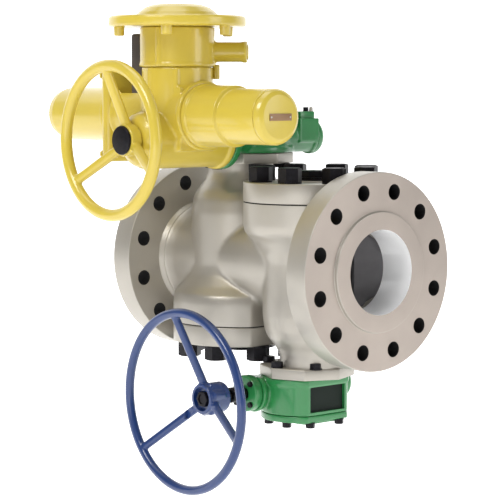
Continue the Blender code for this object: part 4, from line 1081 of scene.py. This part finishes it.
def build_column():
    low, high = node_box("control_column")
    axis = Vector((DRIVE_X, MOTOR_Y, 0))
    radius = 68 * MM
    rough = [
        turned("barrel", rod(radius - 0.5 * MM, low.z, high.z), "Z", axis),
        turned("seam", rod(radius + 1.2 * MM, low.z, low.z + 6 * MM), "Z", axis),
    ]
    rib = axis + Vector((math.cos(-1.2), math.sin(-1.2), 0)) * (radius - 1 * MM)
    rough.append(bar("rib", rib + Vector((0, 0, low.z)), rib + Vector((0, 0, high.z)), 4.5 * MM))
    plug_low, plug_high = node_box("conduit_plug")
    boss_z = (plug_low.z + plug_high.z) / 2
    away = Vector((1, 1, 0)).normalized()
    mouth = axis + away * CONDUIT_REACH + Vector((0, 0, boss_z))
    rough.append(bar("conduit_boss", mouth - away * 75 * MM, mouth, 18 * MM))
    rough.append(bar("conduit_lip", mouth - away * 8 * MM, mouth, 19.5 * MM))
    column = cast("column_casting", rough, 2.2 * MM, 5)
    panel_low, panel_high = node_box("control_panel")
    work(column, [
        turned("inside", rod(58 * MM, low.z - 9 * MM, high.z + 9 * MM), "Z", axis),
        block("panel_side", (-0.3, panel_low.y - GAP, low.z - 9 * MM),
              (panel_high.x + GAP, panel_high.y + GAP, panel_high.z + GAP)),
        bar("conduit_bore", mouth - away * 20 * MM, mouth + away * 9 * MM, 14 * MM),
        block("top_face", (axis.x - 0.2, axis.y - 0.2, high.z),
              (axis.x + 0.2, axis.y + 0.2, high.z + 9 * MM)),
        block("low_face", (axis.x - 0.2, axis.y - 0.2, low.z - 9 * MM),
              (axis.x + 0.2, axis.y + 0.2, low.z)),
    ])
    dress(shade(column, 40), "valve", "yellow_paint", "control_column")
    plug = bar("blanking_plug", mouth - away * 19 * MM, mouth + away * 2 * MM, 13.4 * MM, sides=48)
    bevelled(plug, 1.2 * MM)
    dress(shade(plug), "valve", "yellow_paint", "conduit_plug", slot="dark_plastic")
    pin = axis + Vector((0.6533, 0.7571, 0)) * DRAIN_PIN_R
    pin_top, pin_end = Vector((0, 0, low.z + 4 * MM)), Vector((0, 0, low.z - 22 * MM))
    drip = bar("drain_pin", pin + pin_top, pin + pin_end, 6.5 * MM)
    bevelled(drip, 1.5 * MM)
    dress(shade(drip), "valve", "yellow_paint")

    low, high = node_box("column_lid")
    flange_top = low.z + 19 * MM
    outline = [(0, high.z), (44 * MM, high.z), (58 * MM, high.z - 5 * MM), (70 * MM, flange_top + 7 * MM),
               (76 * MM, flange_top), (120 * MM, flange_top), (124 * MM, flange_top - 3 * MM),
               (124 * MM, low.z), (0, low.z)]
    lid = turned("domed_lid", outline, "Z", axis, edge=5 * MM, sides=160)
    lugs = []
    for degrees in (-131, -49, 15, 80, 150):
        a = math.radians(degrees)
        x, y = axis.x + LUG_CIRCLE * math.cos(a), axis.y + LUG_CIRCLE * math.sin(a)
        lug = bar("lug", (x, y, low.z + 5 * MM), (x, y, low.z - 16 * MM), 10 * MM, 9 * MM, sides=48)
        lugs.append(bevelled(lug, 2 * MM))
    work(lid, lugs, "UNION")
    dress(shade(lid, 40), "valve", "yellow_paint", "column_lid")
    panel = bevelled(block("dark_panel", panel_low, panel_high), 5 * MM, 4)
    window = block("window", (panel_low.x - 5 * MM, MOTOR_Y - 26 * MM, panel_high.z - 52 * MM),
                   (panel_low.x + 2 * MM, MOTOR_Y + 26 * MM, panel_high.z - 16 * MM))
    work(panel, [window])
    dress(shade(panel), "valve", "dark_plastic", "control_panel")


# --- pieces that stay as the frame made them ---------------------------------------------
def dress_internals():
    """Finishes of the inner pieces that keep the frame's own meshes: metals, graphite, and painted shade on
    the plugs.
    """
    metals = {
        # the plugs take the passage's dark grey painted shade
        "passage": ("left_plug", "right_plug"),
        "machined_steel": ("upper_worm_shaft", "drive_sleeve", "motor_rotor"),
        "graphite": ("left_stem_packing", "right_stem_packing"),
        "bronze": ("upper_worm_wheel", "lower_worm_wheel", "actuator_worm_wheel"),
        "black_oxide": ("lower_worm_shaft",),
    }
    for key, names in metals.items():
        for name in names:
            materials = frame["nodes"][name].data.materials
            materials.clear()
            materials.append(FINISHES[key])


# --- stage -------------------------------------------------------------------------------
def soft_light(name, place, target, size, power):
    data = bpy.data.lights.new(name, "AREA")
    data.shape = "RECTANGLE"
    data.size, data.size_y = size
    data.energy = power
    obj = bpy.data.objects.new(name, data)
    bpy.context.scene.collection.objects.link(obj)
    obj.location = place
    obj.rotation_euler = (Vector(target) - Vector(place)).to_track_quat("-Z", "Y").to_euler()


def backdrop(away, floor_z):
    """A floor that curves up into a wall behind the valve."""
    across = Vector((-away.y, away.x, 0))
    profile = [(-9.0, 0.0), (3.2, 0.0)]
    for k in range(1, 13):
        angle = math.radians(90 * k / 12)
        profile.append((3.2 + 1.6 * math.sin(angle), 1.6 - 1.6 * math.cos(angle)))
    profile.append((4.8, 7.0))
    bm = bmesh.new()
    rows = []
    for side in (-9.0, 9.0):
        edge = across * side + Vector((0, 0, floor_z))
        rows.append([bm.verts.new(edge + away * d + Vector((0, 0, h))) for d, h in profile])
    for k in range(len(profile) - 1):
        bm.faces.new((rows[0][k], rows[0][k + 1], rows[1][k + 1], rows[1][k]))
    return shade(from_bmesh("pale_backdrop", bm), 60)


def build_stage():
    azimuth, elevation, distance = math.radians(49.207), math.radians(4.88), 3.595
    right = Vector((math.cos(azimuth), math.sin(azimuth), 0))
    toward = Vector((math.sin(azimuth), -math.cos(azimuth), 0))
    scene = bpy.context.scene
    scene.view_settings.view_transform = "Standard"
    paper = backdrop(-toward, CAD_BOX[0][2] - 4 * MM)
    material, _, shader, _ = new_finish("lit_white_paper")
    shader.inputs["Base Color"].default_value = hex_colour("F4F4F4")
    shader.inputs["Roughness"].default_value = 0.9
    shader.inputs["Emission Color"].default_value = hex_colour("FFFFFF")
    shader.inputs["Emission Strength"].default_value = 0.80
    paper.data.materials.append(material)
    world = bpy.data.worlds.new("studio")
    scene.world = world
    world.use_nodes = True
    world.node_tree.nodes["Background"].inputs["Color"].default_value = hex_colour("FFFFFF")
    world.node_tree.nodes["Background"].inputs["Strength"].default_value = 0.24
    middle = (0, 0, 0)
    soft_light("key", toward * 2.0 - right * 1.7 + Vector((0, 0, 2.4)), middle, (1.5, 1.1), 54)
    soft_light("top", Vector((-0.4, -0.3, 2.9)), middle, (1.8, 1.8), 25)
    soft_light("face_fill", toward * 1.2 + right * 2.6 + Vector((0, 0, 0.9)), middle, (1.2, 1.6), 19)
    soft_light("low_fill", toward * 2.6 - right * 1.2 + Vector((0, 0, -0.1)), middle, (1.6, 0.8), 8)
    view = bpy.data.cameras.new("view")
    view.lens = 137.7
    view.sensor_width = 36
    view.clip_end = 100
    camera = bpy.data.objects.new("view", view)
    scene.collection.objects.link(camera)
    back = toward * math.cos(elevation) + Vector((0, 0, math.sin(elevation)))
    up = back.cross(right)
    camera.matrix_world = Matrix((
        (right.x, up.x, back.x, 0),
        (right.y, up.y, back.y, 0),
        (right.z, up.z, back.z, 0),
        (0, 0, 0, 1),
    ))
    camera.location = back * distance - right * 50 * MM + up * 22 * MM
    scene.camera = camera


# --- operators ---------------------------------------------------------------------------
class VALVE_OT_finishes(bpy.types.Operator):
    """Make the paints and metals"""
    bl_idname = "valve.finishes"
    bl_label = "Finishes"

    def execute(self, context):
        make_finishes(context.scene.valve_colours)
        return {"FINISHED"}


class VALVE_OT_body(bpy.types.Operator):
    """Cast the twin valve body and machine its flanges"""
    bl_idname = "valve.body"
    bl_label = "Valve body"

    def execute(self, context):
        build_body(context.scene.valve_sizes)
        return {"FINISHED"}


class VALVE_OT_covers(bpy.types.Operator):
    """Make the joint covers, gaskets and bolts"""
    bl_idname = "valve.covers"
    bl_label = "Covers and bolts"

    def execute(self, context):
        build_covers(context.scene.valve_sizes)
        return {"FINISHED"}


class VALVE_OT_gearboxes(bpy.types.Operator):
    """Make both worm gearboxes"""
    bl_idname = "valve.gearboxes"
    bl_label = "Worm gearboxes"

    def execute(self, context):
        build_gearboxes()
        return {"FINISHED"}


class VALVE_OT_handwheels(bpy.types.Operator):
    """Make both handwheels"""
    bl_idname = "valve.handwheels"
    bl_label = "Handwheels"

    def execute(self, context):
        build_handwheel(context.scene.valve_sizes)
        build_actuator_handwheel()
        return {"FINISHED"}


class VALVE_OT_actuator(bpy.types.Operator):
    """Make the electric actuator's castings, motor, drum and column"""
    bl_idname = "valve.actuator"
    bl_label = "Electric actuator"

    def execute(self, context):
        build_gearcase()
        build_motor()
        build_drum()
        build_column()
        return {"FINISHED"}


class VALVE_OT_internals(bpy.types.Operator):
    """Give the plugs the passage's painted shade, and the shafts and gears their metals"""
    bl_idname = "valve.internals"
    bl_label = "Plugs and gears"

    def execute(self, context):
        dress_internals()
        return {"FINISHED"}


class VALVE_OT_stage(bpy.types.Operator):
    """Set the floor, lights and camera"""
    bl_idname = "valve.stage"
    bl_label = "Stage"

    def execute(self, context):
        build_stage()
        return {"FINISHED"}


STEPS = (VALVE_OT_finishes, VALVE_OT_body, VALVE_OT_covers, VALVE_OT_gearboxes, VALVE_OT_handwheels,
         VALVE_OT_actuator, VALVE_OT_internals, VALVE_OT_stage)


class VALVE_PT_panel(bpy.types.Panel):
    """Lists the pieces in the 3D view's sidebar"""
    bl_idname = "VALVE_PT_panel"
    bl_label = "Twin plug valve"
    bl_space_type = "VIEW_3D"
    bl_region_type = "UI"
    bl_category = "Valve"

    def draw(self, context):
        for settings in (context.scene.valve_sizes, context.scene.valve_colours):
            for name in settings.__annotations__:
                self.layout.prop(settings, name)
        for step in STEPS:
            self.layout.operator(step.bl_idname)


CLASSES = (ValveSizes, ValveColours) + STEPS + (VALVE_PT_panel,)


def register():
    for cls in CLASSES:
        bpy.utils.register_class(cls)
    bpy.types.Scene.valve_sizes = bpy.props.PointerProperty(type=ValveSizes)
    bpy.types.Scene.valve_colours = bpy.props.PointerProperty(type=ValveColours)


def unregister():
    del bpy.types.Scene.valve_colours
    del bpy.types.Scene.valve_sizes
    for cls in reversed(CLASSES):
        bpy.utils.unregister_class(cls)


def main():
    register()
    for step in STEPS:
        group, name = step.bl_idname.split(".")
        getattr(getattr(bpy.ops, group), name)()
    bpy.context.view_layer.update()


if __name__ == "__main__":
    main()
